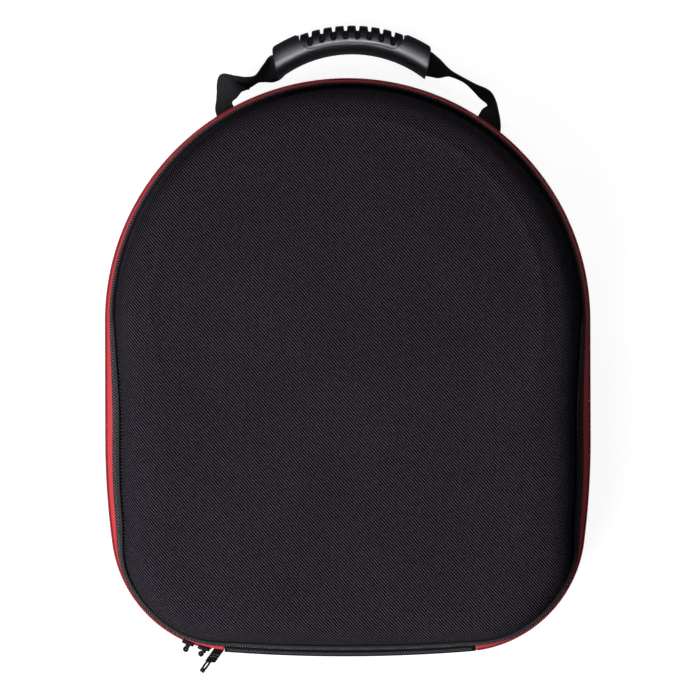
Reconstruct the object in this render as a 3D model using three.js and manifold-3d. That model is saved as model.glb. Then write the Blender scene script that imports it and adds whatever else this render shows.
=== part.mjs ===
// A zipped hard case for a charging cable, lying on its back.
// Two moulded half shells close on a red zip, and a black tape hinges them along the bottom edge.
// A ribbed grip on a loop of webbing lies beside the top of the case.
// Millimetres and degrees. +Z is up, out of the front face; +Y runs from the hinge to the handle.

import * as THREE from "three";
import { mergeVertices } from "three/addons/utils/BufferGeometryUtils.js";
import Module from "manifold-3d";

const wasm = await Module();
wasm.setup();

// Driving dimensions

const GAP = 0.3;
const FINENESS = 0.02;
const WELD = 1e-4;
const ARC_STEPS = 8;
const HALVINGS = 40;
const CASE = {
  width: 340,
  height: 405,
  depth: 112,
  cornerRadius: 88,
  sideBowRadius: 560,
  sideBowStart: -50,
  bottomBowRadius: 1100,
};
const SHELL = {
  wall: 4,
  edge: 1.2,
  edgeHeight: 2,
  draft: 5,
  roundness: 2.3,
  spacing: 16,
  outerTurns: [90, 62, 42, 22, 0],
  innerTurns: [0, 30, 58, 90],
};

// How the rim and the shoulder of a half shell change round the outline.
// along runs from 0 at the middle of the hinge to 1 at the top of the arch on either side,
// inset is from the zip's outer face in to the rim,
// shoulder is the width of the rounding seen from the front and rise is its height.
const RIM = [
  { along: 0.0, inset: 5.5, shoulder: 18, rise: 16 },
  { along: 0.12, inset: 5.2, shoulder: 18, rise: 16 },
  { along: 0.2, inset: 2.6, shoulder: 22, rise: 20 },
  { along: 0.28, inset: 2.6, shoulder: 24, rise: 22 },
  { along: 0.36, inset: 6.3, shoulder: 24, rise: 22 },
  { along: 0.46, inset: 7.2, shoulder: 25, rise: 23 },
  { along: 0.6, inset: 2.2, shoulder: 31, rise: 29 },
  { along: 0.8, inset: 2.2, shoulder: 34, rise: 32 },
  { along: 1.0, inset: 3.2, shoulder: 34, rise: 32 },
];

const BAND = { height: 14, tape: 1, tapeSetback: 2.5, tapeUnderRim: 0.6, spacing: 17 };
const CHAIN = { height: 6, thickness: 2.2, chamfer: 0.8, leftEnd: -96 };
const HINGE = { left: -87, right: 89.5, thickness: 1.6, spacing: 13, acrossParts: [-1, -0.6, 0, 0.6, 1] };

const SLIDER = {
  length: 9,
  plate: 0.8,
  width: 9.2,
  skirt: 1.2,
  earLength: 2,
  earThickness: 0.9,
  pinRadius: 0.45,
  pinSides: 12,
  pinAlong: -0.5,
  pinHeight: 2.5,
};
const PULL = { eyeRadius: 1.1, ringRadius: 1.9, reach: 2.2, holeRadius: 0.95, thickness: 1.6 };
const SLIDERS = [
  { number: 1, x: -112.2, lean: -7 },
  { number: 2, x: -101.2, lean: -37 },
];

const LOCK = { x: -91.5, lean: 27, reach: 8.6, width: 7.2, thickness: 3.2 };
const LOOP = { start: 6.2, end: 18.8, aside: 0.8, rootWidth: 3.6, tipWidth: 2.6, thickness: 1.4 };
const LOOP_SLOT = { start: 11, end: 16, width: 1.3 };

const GRIP = {
  x: 3.3,
  y: 140,
  z: 15,
  radius: 95.5,
  thickness: 20,
  depth: 30,
  roundness: 2.6,
  endTurn: 35.5,
  endSlant: 0.0076,
  endRounding: 1.5,
  endRoundingTurn: 1,
  collarTurn: 24.4,
  collarSwell: 1,
  collarStep: 23.4,
  collarGroove: 0.5,
  sides: 20,
};
const RIBS = { each: 4, pitch: 5.1, halfTop: 1.45, halfWall: 2.05, depth: 3.2, sideDepth: 1.6, foot: 1.5 };
const PAD = { radius: 91.6, endTurn: 22.6, cornerTurn: 17.5, cornerRise: 9, top: 116, steps: 20 };
const MOUTH = {
  radial: 16,
  depth: 24,
  roundness: 3,
  innerTurn: 29.5,
  innerScale: 0.86,
  outerTurn: 40,
  sides: 20,
};

const STRAP = { width: 22, thickness: 1.8, middleRadius: 88.6, perRow: 2, bendTurns: [28, 20, 10] };

// Middle line of the webbing, and the direction from it to its lower edge, at each bend.
// The first row lies inside the back shell and the last one in the mouth of the grip.
const LEFT_STRAP = [
  { x: -80.4, y: 172.6, z: 37.5, ex: 0.72, ey: 0.4, ez: -0.56 },
  { x: -86.6, y: 183.5, z: 37.5, ex: 0.66, ey: 0.37, ez: -0.65 },
  { x: -83.5, y: 191.4, z: 39, ex: 0.82, ey: 0.04, ez: -0.57 },
  { x: -80.9, y: 199.7, z: 38, ex: 0.75, ey: -0.38, ez: -0.54 },
  { x: -75.5, y: 203.7, z: 33.5, ex: 0.6, ey: -0.31, ez: -0.74 },
  { x: -70.6, y: 205, z: 28.5, ex: 0.33, ey: -0.13, ez: -0.93 },
  { x: -65.2, y: 206.6, z: 23, ex: 0.08, ey: 0, ez: -1 },
  { x: -58.8, y: 212.6, z: 17.2, ex: 0.03, ey: -0.48, ez: -0.88 },
  { x: -52.7, y: 215.9, z: 15, ex: 0.09, ey: -0.68, ez: -0.73 },
];
const RIGHT_STRAP = [
  { x: 93.6, y: 161.8, z: 40.5, ex: -0.76, ey: 0.54, ez: -0.36 },
  { x: 100.2, y: 171.2, z: 40.5, ex: -0.7, ey: 0.54, ez: -0.46 },
  { x: 101.9, y: 178.6, z: 40.5, ex: -0.53, ey: 0.4, ez: -0.75 },
  { x: 103.2, y: 184.5, z: 37.5, ex: -0.25, ey: 0.2, ez: -0.95 },
  { x: 98.2, y: 193.7, z: 31.5, ex: -0.3, ey: -0.06, ez: -0.95 },
  { x: 87.6, y: 202.4, z: 26.5, ex: -0.22, ey: 0.16, ez: -0.96 },
  { x: 74.7, y: 209.9, z: 21.2, ex: -0.02, ey: 0, ez: -1 },
  { x: 65.2, y: 214.8, z: 17.2, ex: 0, ey: -0.55, ez: -0.83 },
  { x: 58.4, y: 218.1, z: 15, ex: -0.05, ey: -0.71, ez: -0.7 },
];

const COLOURS = {
  shellCloth: { color: 0x26242a, roughness: 0.85, metalness: 0 },
  redTape: { color: 0xb4202a, roughness: 0.7, metalness: 0 },
  blackTape: { color: 0x1b1a1d, roughness: 0.85, metalness: 0 },
  blackMetal: { color: 0x17171a, roughness: 0.4, metalness: 0.7 },
  gripPlastic: { color: 0x26282e, roughness: 0.45, metalness: 0 },
  padRubber: { color: 0x1e2025, roughness: 0.6, metalness: 0 },
};

const MIDDLE = CASE.depth / 2;
const ARCH_RADIUS = CASE.width / 2;
const ARCH_Y = CASE.height / 2 - ARCH_RADIUS;
const RIM_HEIGHT = BAND.height / 2;

const radians = THREE.MathUtils.degToRad;
const smooth = (t) => THREE.MathUtils.smoothstep(t, 0, 1);

// Outline of the zip's outer face: arch, straight sides, bowed sides, round corners and bowed bottom

function arcPiece(centre, radius, from, to) {
  const at = (t) => {
    const angle = from + (to - from) * t;
    const normal = new THREE.Vector2(Math.cos(angle), Math.sin(angle));
    return { point: centre.clone().addScaledVector(normal, radius), normal };
  };
  return { length: radius * Math.abs(to - from), at };
}

function linePiece(from, to, normal) {
  const at = (t) => ({ point: from.clone().lerp(to, t), normal });
  return { length: from.distanceTo(to), at };
}

// Middle of the circle that touches the bowed side and the bowed bottom from within.
function cornerMiddle(sideMiddle, bottomMiddle) {
  const sideReach = CASE.sideBowRadius - CASE.cornerRadius;
  const bottomReach = CASE.bottomBowRadius - CASE.cornerRadius;
  const apart = bottomMiddle.clone().sub(sideMiddle);
  const distance = apart.length();
  const along = (sideReach ** 2 - bottomReach ** 2 + distance ** 2) / (2 * distance);
  const aside = Math.sqrt(sideReach ** 2 - along ** 2);
  apart.normalize();
  return new THREE.Vector2(
    sideMiddle.x + apart.x * along + apart.y * aside,
    sideMiddle.y + apart.y * along - apart.x * aside,
  );
}

function outlinePieces() {
  const side = new THREE.Vector2(ARCH_RADIUS - CASE.sideBowRadius, CASE.sideBowStart);
  const bottom = new THREE.Vector2(0, CASE.bottomBowRadius - CASE.height / 2);
  const corner = cornerMiddle(side, bottom);
  const arch = new THREE.Vector2(0, ARCH_Y);
  const bottomTurn = Math.atan2(corner.y - bottom.y, corner.x - bottom.x);
  const sideTurn = Math.atan2(corner.y - side.y, corner.x - side.x);
  const sideFoot = new THREE.Vector2(ARCH_RADIUS, CASE.sideBowStart);
  const sideTop = new THREE.Vector2(ARCH_RADIUS, ARCH_Y);
  return [
    arcPiece(bottom, CASE.bottomBowRadius, -Math.PI / 2, bottomTurn),
    arcPiece(corner, CASE.cornerRadius, bottomTurn, sideTurn),
    arcPiece(side, CASE.sideBowRadius, sideTurn, 0),
    linePiece(sideFoot, sideTop, new THREE.Vector2(1, 0)),
    arcPiece(arch, ARCH_RADIUS, 0, Math.PI / 2),
  ];
}

const PIECES = outlinePieces();
const HALF_LENGTH = PIECES.reduce((sum, piece) => sum + piece.length, 0);

// Point and outward normal at a distance round the outline, anticlockwise from the bottom middle.
function outlineAt(distance) {
  const whole = 2 * HALF_LENGTH;
  const wrapped = ((distance % whole) + whole) % whole;
  const side = wrapped > HALF_LENGTH ? -1 : 1;
  const fromBottom = side < 0 ? whole - wrapped : wrapped;
  let rest = fromBottom;
  let index = 0;
  while (index < PIECES.length - 1 && rest > PIECES[index].length) {
    rest -= PIECES[index].length;
    index += 1;
  }
  const { point, normal } = PIECES[index].at(Math.min(rest / PIECES[index].length, 1));
  return {
    x: side * point.x,
    y: point.y,
    nx: side * normal.x,
    ny: normal.y,
    along: fromBottom / HALF_LENGTH,
  };
}

// Distance from the bottom middle to the place on the bottom or a lower corner with this x.
function distanceAtX(x) {
  let low = 0;
  let high = PIECES[0].length + PIECES[1].length;
  for (let step = 0; step < HALVINGS; step += 1) {
    const half = (low + high) / 2;
    if (outlineAt(half).x < Math.abs(x)) {
      low = half;
    } else {
      high = half;
    }
  }
  return x < 0 ? 2 * HALF_LENGTH - low : low;
}

function stations(from, to, spacing) {
  const steps = Math.ceil((to - from) / spacing);
  return Array.from({ length: steps + 1 }, (_, i) => outlineAt(from + ((to - from) * i) / steps));
}

function place(station, offset, z) {
  return new THREE.Vector3(station.x + station.nx * offset, station.y + station.ny * offset, z);
}

// Rim and shoulder sizes at a place along the outline, eased between the rows of the table.
function rimAt(along) {
  const last = RIM.findIndex((row) => row.along >= along);
  const upper = RIM[Math.max(last, 1)];
  const lower = RIM[Math.max(last, 1) - 1];
  const t = smooth((along - lower.along) / (upper.along - lower.along));
  const mix = (key) => lower[key] + (upper[key] - lower[key]) * t;
  return { inset: mix("inset"), shoulder: mix("shoulder"), rise: mix("rise") };
}

// Closed solids

function closedGeometry(points, triangles) {
  const sixfold = triangles.reduce(
    (sum, [a, b, c]) => sum + points[a].dot(points[b].clone().cross(points[c])),
    0,
  );
  const outward = sixfold < 0 ? triangles.map(([a, b, c]) => [a, c, b]) : triangles;
  const geometry = new THREE.BufferGeometry();
  const numbers = points.flatMap((point) => point.toArray());
  geometry.setAttribute("position", new THREE.Float32BufferAttribute(numbers, 3));
  geometry.setIndex(outward.flat());
  geometry.computeVertexNormals();
  return geometry;
}

function bandTriangles(ringCount, size) {
  const triangles = [];
  for (let ring = 0; ring < ringCount - 1; ring += 1) {
    for (let i = 0; i < size; i += 1) {
      const a = ring * size + i;
      const b = ring * size + ((i + 1) % size);
      triangles.push([a, b, b + size], [a, b + size, a + size]);
    }
  }
  return triangles;
}

// Rings of points joined in order, closed at each end by a point in its middle.
function ringSolid(rings, firstPole, lastPole) {
  const size = rings[0].length;
  const points = [...rings.flat(), firstPole, lastPole];
  const triangles = bandTriangles(rings.length, size);
  const lastRing = (rings.length - 1) * size;
  for (let i = 0; i < size; i += 1) {
    const next = (i + 1) % size;
    triangles.push([points.length - 2, next, i]);
    triangles.push([points.length - 1, lastRing + i, lastRing + next]);
  }
  return closedGeometry(points, triangles);
}

// A strip whose sections each have an outer and an inner side with as many points.
function stripSolid(sections) {
  const sideSize = sections[0].outer.length;
  const size = 2 * sideSize;
  const points = sections.flatMap(({ outer, inner }) => [...outer, ...inner.slice().reverse()]);
  const triangles = bandTriangles(sections.length, size);
  const lastRing = (sections.length - 1) * size;
  for (let i = 0; i < sideSize - 1; i += 1) {
    const facing = size - 1 - i;
    triangles.push([i + 1, i, facing], [i + 1, facing, facing - 1]);
    const [a, b, c, d] = [i, i + 1, facing, facing - 1].map((k) => k + lastRing);
    triangles.push([a, b, c], [b, d, c]);
  }
  return closedGeometry(points, triangles);
}

function solidOf(geometry) {
  const bare = geometry.clone();
  bare.deleteAttribute("normal");
  bare.deleteAttribute("uv");
  const merged = mergeVertices(bare, WELD);
  const vertProperties = new Float32Array(merged.attributes.position.array);
  const triVerts = new Uint32Array(merged.index.array);
  return new wasm.Manifold(new wasm.Mesh({ numProp: 3, vertProperties, triVerts }));
}

function geometryOf(solid) {
  const mesh = solid.simplify(FINENESS).getMesh();
  const geometry = new THREE.BufferGeometry();
  geometry.setAttribute("position", new THREE.Float32BufferAttribute(mesh.vertProperties, 3));
  geometry.setIndex(Array.from(mesh.triVerts));
  geometry.computeVertexNormals();
  return geometry;
}

function subPart(name, geometry, colour) {
  const mesh = new THREE.Mesh(geometry, new THREE.MeshStandardMaterial(COLOURS[colour]));
  mesh.name = name;
  return mesh;
}

// Half shells

// Outer and inner surface of a half shell at one place, from the face over the rim to the inside.
function shellSection(station) {
  const { inset, shoulder, rise } = rimAt(station.along);
  const rim = MIDDLE + RIM_HEIGHT + GAP;
  const wallFoot = inset + SHELL.edge;
  const bend = CASE.depth - rise;
  const wallTop = wallFoot + (bend - rim) * Math.tan(radians(SHELL.draft));
  const rounding = (turn, width, height, start) => {
    const power = 2 / SHELL.roundness;
    const cosine = Math.max(Math.cos(radians(turn)), 0) ** power;
    const sine = Math.sin(radians(turn)) ** power;
    return { offset: -(start + width * (1 - cosine)), z: bend + height * sine };
  };
  const outer = SHELL.outerTurns.map((turn) => rounding(turn, shoulder, rise, wallTop));
  const inside = SHELL.innerTurns.map((turn) =>
    rounding(turn, shoulder - SHELL.wall, rise - SHELL.wall, wallTop + SHELL.wall),
  );
  return [
    ...outer,
    { offset: -wallFoot, z: rim + SHELL.edgeHeight },
    { offset: -inset, z: rim + SHELL.edgeHeight },
    { offset: -inset, z: rim },
    { offset: -(wallFoot + SHELL.wall), z: rim },
    ...inside,
  ];
}

function shellGeometry(height) {
  const whole = 2 * HALF_LENGTH;
  const around = stations(0, whole, SHELL.spacing).slice(0, -1);
  const sections = around.map((station) =>
    shellSection(station).map(({ offset, z }) => place(station, offset, height(z))),
  );
  const rings = sections[0].map((_, j) => sections.map((section) => section[j]));
  const facePole = new THREE.Vector3(0, 0, height(CASE.depth));
  const insidePole = new THREE.Vector3(0, 0, height(CASE.depth - SHELL.wall));
  return ringSolid(rings, facePole, insidePole);
}

function frontShell() {
  return subPart("front_shell", shellGeometry((z) => z), "shellCloth");
}

// The back half is the front one turned over, with a slit under its rim for each end of the strap.
function backShell() {
  const solid = solidOf(shellGeometry((z) => CASE.depth - z));
  return subPart("back_shell", geometryOf(solid.subtract(strapSolid(GAP))), "shellCloth");
}

// Zip band and hinge

const ZIP_START = distanceAtX(HINGE.right);
const ZIP_END = distanceAtX(HINGE.left);
const CHAIN_STATIONS = stations(ZIP_START, distanceAtX(CHAIN.leftEnd), BAND.spacing);
const TAPE_STATIONS = [
  ...CHAIN_STATIONS.slice(0, -1),
  ...stations(distanceAtX(CHAIN.leftEnd), ZIP_END, BAND.spacing),
];

function zipTape(name, side) {
  const height = (rise) => MIDDLE + side * rise;
  const bend = CHAIN.height / 2 + GAP;
  const sections = TAPE_STATIONS.map((station) => {
    const top = rimAt(station.along).inset + BAND.tapeUnderRim;
    const line = (depth) => [
      place(station, -(BAND.tapeSetback + depth), height(GAP)),
      place(station, -(BAND.tapeSetback + depth), height(bend)),
      place(station, -(Math.max(top, BAND.tapeSetback) + depth), height(RIM_HEIGHT)),
    ];
    return { outer: line(0), inner: line(BAND.tape) };
  });
  return subPart(name, stripSolid(sections), "redTape");
}

function zipChain() {
  const edge = CHAIN.height / 2;
  const sections = CHAIN_STATIONS.map((station) => {
    const heights = [-edge, CHAIN.chamfer - edge, edge - CHAIN.chamfer, edge];
    const outer = heights.map((rise) =>
      place(station, Math.abs(rise) === edge ? -CHAIN.chamfer : 0, MIDDLE + rise),
    );
    const inner = heights.map((rise) => place(station, -CHAIN.thickness, MIDDLE + rise));
    return { outer, inner };
  });
  return subPart("zip_chain", stripSolid(sections), "redTape");
}

function hingeTape() {
  const room = 2 * HALF_LENGTH;
  const from = ZIP_END - room + GAP;
  const sections = stations(from, ZIP_START - GAP, HINGE.spacing).map((station) => {
    const top = rimAt(station.along).inset + BAND.tapeUnderRim;
    const line = (depth) =>
      HINGE.acrossParts.map((part) =>
        place(station, -(top * part ** 2 + depth), MIDDLE + part * RIM_HEIGHT),
      );
    return { outer: line(0), inner: line(HINGE.thickness) };
  });
  return subPart("hinge_tape", stripSolid(sections), "blackTape");
}

// Zip sliders, pulls and the lock tab at the zip's end

// A group at a place on the zip, with local Y pointing outward and local Z along the part's Z.
function zipGroup(x) {
  const station = outlineAt(distanceAtX(x));
  const group = new THREE.Group();
  group.position.set(station.x, station.y, MIDDLE);
  group.rotation.z = Math.atan2(station.ny, station.nx) - Math.PI / 2;
  return group;
}

function block(sizeX, sizeY, sizeZ, x, y, z) {
  return solidOf(new THREE.BoxGeometry(sizeX, sizeY, sizeZ).translate(x, y, z));
}

// A channel over the chain, with two ears that carry the pull's pin.
function zipSlider(number) {
  const skirtDepth = CHAIN.thickness + GAP;
  const skirtY = GAP - skirtDepth / 2;
  const skirtZ = (SLIDER.width - SLIDER.skirt) / 2;
  const plateY = GAP + SLIDER.plate / 2;
  const earZ = PULL.thickness / 2 + GAP + SLIDER.earThickness / 2;
  const earHeight = SLIDER.pinHeight - GAP;
  const pinLength = 2 * earZ + SLIDER.earThickness;
  const pin = new THREE.CylinderGeometry(
    SLIDER.pinRadius,
    SLIDER.pinRadius,
    pinLength,
    SLIDER.pinSides,
  );
  pin.rotateX(Math.PI / 2).translate(SLIDER.pinAlong, SLIDER.pinHeight, 0);
  let solid = block(SLIDER.length, SLIDER.plate, SLIDER.width, 0, plateY, 0).add(solidOf(pin));
  for (const side of [-1, 1]) {
    solid = solid.add(block(SLIDER.length, skirtDepth, SLIDER.skirt, 0, skirtY, side * skirtZ));
    const earY = GAP + (earHeight + SLIDER.earLength / 2) / 2;
    const ear = block(
      SLIDER.earLength,
      earHeight + SLIDER.earLength / 2,
      SLIDER.earThickness,
      SLIDER.pinAlong,
      earY,
      side * earZ,
    );
    solid = solid.add(ear);
  }
  return subPart(`zip_slider_${number}`, geometryOf(solid), "blackMetal");
}

// A flat pull with an eye round the slider's pin and a larger ring at its free end.
function zipPull(number, lean) {
  const taper = Math.asin((PULL.ringRadius - PULL.eyeRadius) / PULL.reach);
  const outline = new THREE.Shape();
  outline.absarc(0, 0, PULL.eyeRadius, Math.PI + taper, 2 * Math.PI - taper, false);
  outline.absarc(0, PULL.reach, PULL.ringRadius, -taper, Math.PI + taper, false);
  const eye = new THREE.Path().absarc(0, 0, SLIDER.pinRadius + GAP, 0, 2 * Math.PI, true);
  const ring = new THREE.Path().absarc(0, PULL.reach, PULL.holeRadius, 0, 2 * Math.PI, true);
  outline.holes.push(eye, ring);
  const settings = { depth: PULL.thickness, bevelEnabled: false, curveSegments: ARC_STEPS };
  const geometry = new THREE.ExtrudeGeometry(outline, settings);
  geometry.translate(0, 0, -PULL.thickness / 2);
  const pull = subPart(`zip_pull_${number}`, geometry, "blackMetal");
  pull.position.set(SLIDER.pinAlong, SLIDER.pinHeight, 0);
  pull.rotation.z = radians(lean);
  return pull;
}

// A flat plate from a square root to a round tip, set a little aside in its tab.
function taperedPlate(from, to, fromWidth, toWidth, thickness) {
  const outline = new THREE.Shape();
  outline.moveTo(-fromWidth / 2, from);
  outline.lineTo(fromWidth / 2, from);
  outline.lineTo(toWidth / 2, to - toWidth / 2);
  outline.absarc(0, to - toWidth / 2, toWidth / 2, 0, Math.PI, false);
  const settings = { depth: thickness, bevelEnabled: false, curveSegments: ARC_STEPS };
  const plate = new THREE.ExtrudeGeometry(outline, settings);
  return solidOf(plate.translate(LOOP.aside, 0, -thickness / 2));
}

function loopPlate(extra) {
  return taperedPlate(
    LOOP.start - extra,
    LOOP.end + extra,
    LOOP.rootWidth + 2 * extra,
    LOOP.tipWidth + 2 * extra,
    LOOP.thickness + 2 * extra,
  );
}

// A folded tab that leans over, with a pocket for the plate.
function lockTab() {
  const slope = Math.tan(radians(LOCK.lean));
  const root = GAP - BAND.tapeSetback;
  const corner = (side, y) => new THREE.Vector2((side * LOCK.width) / 2 + y * slope, y);
  const outline = new THREE.Shape([
    corner(-1, root),
    corner(1, root),
    corner(1, LOCK.reach),
    corner(-1, LOCK.reach),
  ]);
  const settings = { depth: LOCK.thickness, bevelEnabled: false };
  const folded = new THREE.ExtrudeGeometry(outline, settings).translate(0, 0, -LOCK.thickness / 2);
  const pocket = loopPlate(GAP).rotate([0, 0, -LOCK.lean]);
  return subPart("lock_tab", geometryOf(solidOf(folded).subtract(pocket)), "blackTape");
}

function lockLoop() {
  const slotLength = LOOP_SLOT.end - LOOP_SLOT.start;
  const slotMiddle = (LOOP_SLOT.end + LOOP_SLOT.start) / 2;
  const slotDepth = 2 * LOOP.thickness;
  const slot = block(LOOP_SLOT.width, slotLength, slotDepth, LOOP.aside, slotMiddle, 0);
  const loop = subPart("lock_loop", geometryOf(loopPlate(0).subtract(slot)), "blackMetal");
  loop.rotation.z = -radians(LOCK.lean);
  return loop;
}

// Handle: grip, pad and strap

function signedPower(value, power) {
  return Math.sign(value) * Math.abs(value) ** power;
}

// Point of the grip at a turn along its arch, and at a radial and a depth offset from its middle line.
// Turns are counted from the top, positive to the right; the ends slant, so they shorten outward.
function archPoint(turn, radial, aside) {
  const slanted = radians(turn * (1 - GRIP.endSlant * radial));
  const radius = GRIP.radius + radial;
  return new THREE.Vector3(
    GRIP.x + radius * Math.sin(slanted),
    GRIP.y + radius * Math.cos(slanted),
    GRIP.z + aside,
  );
}

// A rounded section of the grip; groove is how far it is cut in between two ribs, from 0 to 1.
function gripSection({ turn, swell, groove }) {
  return Array.from({ length: GRIP.sides }, (_, i) => {
    const angle = (2 * Math.PI * i) / GRIP.sides;
    const power = 2 / GRIP.roundness;
    const up = signedPower(Math.cos(angle), power);
    const aside = signedPower(Math.sin(angle), power);
    const outward = up > 0 ? swell : Math.min(swell, 0);
    const radial = up * (GRIP.thickness / 2 + outward);
    const cut = groove * smooth((radial - RIBS.foot) / RIBS.depth);
    const width = GRIP.depth / 2 + Math.min(swell, 0);
    return archPoint(turn, radial - cut * RIBS.depth * up, aside * (width - cut * RIBS.sideDepth));
  });
}

// Rows along the grip: a rounded end, a collar, a step, then ribs and grooves, and back again.
function gripRows() {
  const { endTurn, endRounding, endRoundingTurn, collarSwell, collarTurn } = GRIP;
  const end = [
    { turn: endTurn, swell: -endRounding, groove: 0 },
    { turn: endTurn - endRoundingTurn, swell: collarSwell, groove: 0 },
    { turn: (endTurn + collarTurn) / 2, swell: collarSwell, groove: 0 },
    { turn: collarTurn, swell: collarSwell, groove: 0 },
    { turn: GRIP.collarStep, swell: 0, groove: GRIP.collarGroove },
  ];
  const ribs = [];
  for (let rib = -RIBS.each; rib <= RIBS.each; rib += 1) {
    const top = rib * RIBS.pitch;
    ribs.push({ turn: top - RIBS.halfTop, swell: 0, groove: 0 });
    ribs.push({ turn: top + RIBS.halfTop, swell: 0, groove: 0 });
    if (rib < RIBS.each) {
      ribs.push({ turn: top + RIBS.halfWall, swell: 0, groove: 1 });
      ribs.push({ turn: top + RIBS.pitch - RIBS.halfWall, swell: 0, groove: 1 });
    }
  }
  const start = end.map((row) => ({ ...row, turn: -row.turn }));
  return [...start, ...ribs, ...end.reverse()];
}

function gripSolid() {
  const rings = gripRows().map(gripSection);
  return solidOf(ringSolid(rings, archPoint(-GRIP.endTurn, 0, 0), archPoint(GRIP.endTurn, 0, 0)));
}

// The pad's seat seen from the side: an arc under the ribs that curves up at both ends.
function padSeat(extra) {
  const limit = PAD.endTurn + extra / 2;
  const points = [];
  for (let i = 0; i <= PAD.steps; i += 1) {
    const turn = -limit + (2 * limit * i) / PAD.steps;
    const past = Math.max(Math.abs(turn) - PAD.cornerTurn, 0) / (PAD.endTurn - PAD.cornerTurn);
    const radius = PAD.radius + PAD.cornerRise * past ** 2 - extra;
    points.push([radius * Math.sin(radians(turn)), radius * Math.cos(radians(turn))]);
  }
  const across = PAD.top * Math.sin(radians(limit));
  points.push([across, PAD.top], [-across, PAD.top]);
  const outline = new THREE.Shape(points.map(([x, y]) => new THREE.Vector2(GRIP.x + x, GRIP.y + y)));
  const settings = { depth: 2 * GRIP.depth, bevelEnabled: false };
  return solidOf(new THREE.ExtrudeGeometry(outline, settings).translate(0, 0, GRIP.z - GRIP.depth));
}

// The hollow end of the grip that the strap runs into.
function mouthSolid(side) {
  const ring = (turn, scale) =>
    Array.from({ length: MOUTH.sides }, (_, i) => {
      const angle = (2 * Math.PI * i) / MOUTH.sides;
      const power = 2 / MOUTH.roundness;
      const radial = (signedPower(Math.cos(angle), power) * MOUTH.radial * scale) / 2;
      const aside = (signedPower(Math.sin(angle), power) * MOUTH.depth * scale) / 2;
      return archPoint(side * turn, radial, aside);
    });
  const rings = [ring(MOUTH.outerTurn, 1), ring(GRIP.endTurn, 1), ring(MOUTH.innerTurn, MOUTH.innerScale)];
  const poles = [MOUTH.outerTurn, MOUTH.innerTurn].map((turn) => archPoint(side * turn, 0, 0));
  return solidOf(ringSolid(rings, poles[0], poles[1]));
}

// All rows of the webbing from the left root through the grip to the right root.
function strapRows() {
  const within = (turn) => {
    const middle = archPoint(turn, STRAP.middleRadius - GRIP.radius, 0);
    return { x: middle.x, y: middle.y, z: middle.z, ex: 0, ey: 0, ez: -1 };
  };
  const leftTurns = STRAP.bendTurns.map((turn) => -turn);
  const rightTurns = STRAP.bendTurns.slice().reverse();
  const gripTurns = [...leftTurns, 0, ...rightTurns];
  return [...LEFT_STRAP, ...gripTurns.map(within), ...RIGHT_STRAP.slice().reverse()];
}

// The webbing as a ribbon with straight sections, made larger all round by extra.
function strapSolid(extra) {
  const rows = strapRows();
  const middle = new THREE.CatmullRomCurve3(rows.map(({ x, y, z }) => new THREE.Vector3(x, y, z)));
  const lower = new THREE.CatmullRomCurve3(rows.map(({ ex, ey, ez }) => new THREE.Vector3(ex, ey, ez)));
  const halfWidth = STRAP.width / 2 + extra;
  const halfThickness = STRAP.thickness / 2 + extra;
  const steps = (rows.length - 1) * STRAP.perRow;
  const sections = Array.from({ length: steps + 1 }, (_, i) => {
    const t = i / steps;
    const across = lower.getPoint(t).normalize();
    const tangent = middle.getTangent(t);
    const face = tangent.clone().cross(across).normalize();
    const atEnd = i === 0 ? -extra : Number(i === steps) * extra;
    const centre = middle.getPoint(t).addScaledVector(tangent, atEnd);
    const corner = (sideways, through) =>
      centre
        .clone()
        .addScaledVector(across, sideways * halfWidth)
        .addScaledVector(face, through * halfThickness);
    return { outer: [corner(-1, 1), corner(1, 1)], inner: [corner(-1, -1), corner(1, -1)] };
  });
  return solidOf(stripSolid(sections));
}

function handleParts() {
  const whole = gripSolid();
  const hollow = strapSolid(GAP).add(mouthSolid(-1)).add(mouthSolid(1));
  const body = whole.subtract(padSeat(GAP)).subtract(hollow);
  const pad = whole.intersect(padSeat(0));
  return [
    subPart("handle_strap", geometryOf(strapSolid(0)), "blackTape"),
    subPart("handle_grip", geometryOf(body), "gripPlastic"),
    subPart("grip_pad", geometryOf(pad), "padRubber"),
  ];
}

const bag = new THREE.Group();
bag.add(frontShell(), backShell());
bag.add(zipTape("zip_tape_front", 1), zipTape("zip_tape_back", -1), zipChain(), hingeTape());
for (const { number, x, lean } of SLIDERS) {
  const slider = zipGroup(x);
  slider.add(zipSlider(number), zipPull(number, lean));
  bag.add(slider);
}
const lock = zipGroup(LOCK.x);
lock.add(lockTab(), lockLoop());
bag.add(lock);
bag.add(...handleParts());

export default bag;
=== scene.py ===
"""A zipped hard case for a charging cable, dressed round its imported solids.

The file is laid out as an add-on and run as a script. Every shape is a surface worked out with numpy,
in metres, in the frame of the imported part: +Z out of the front face, +Y from the hinge to the handle.
"""

import math

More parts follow.
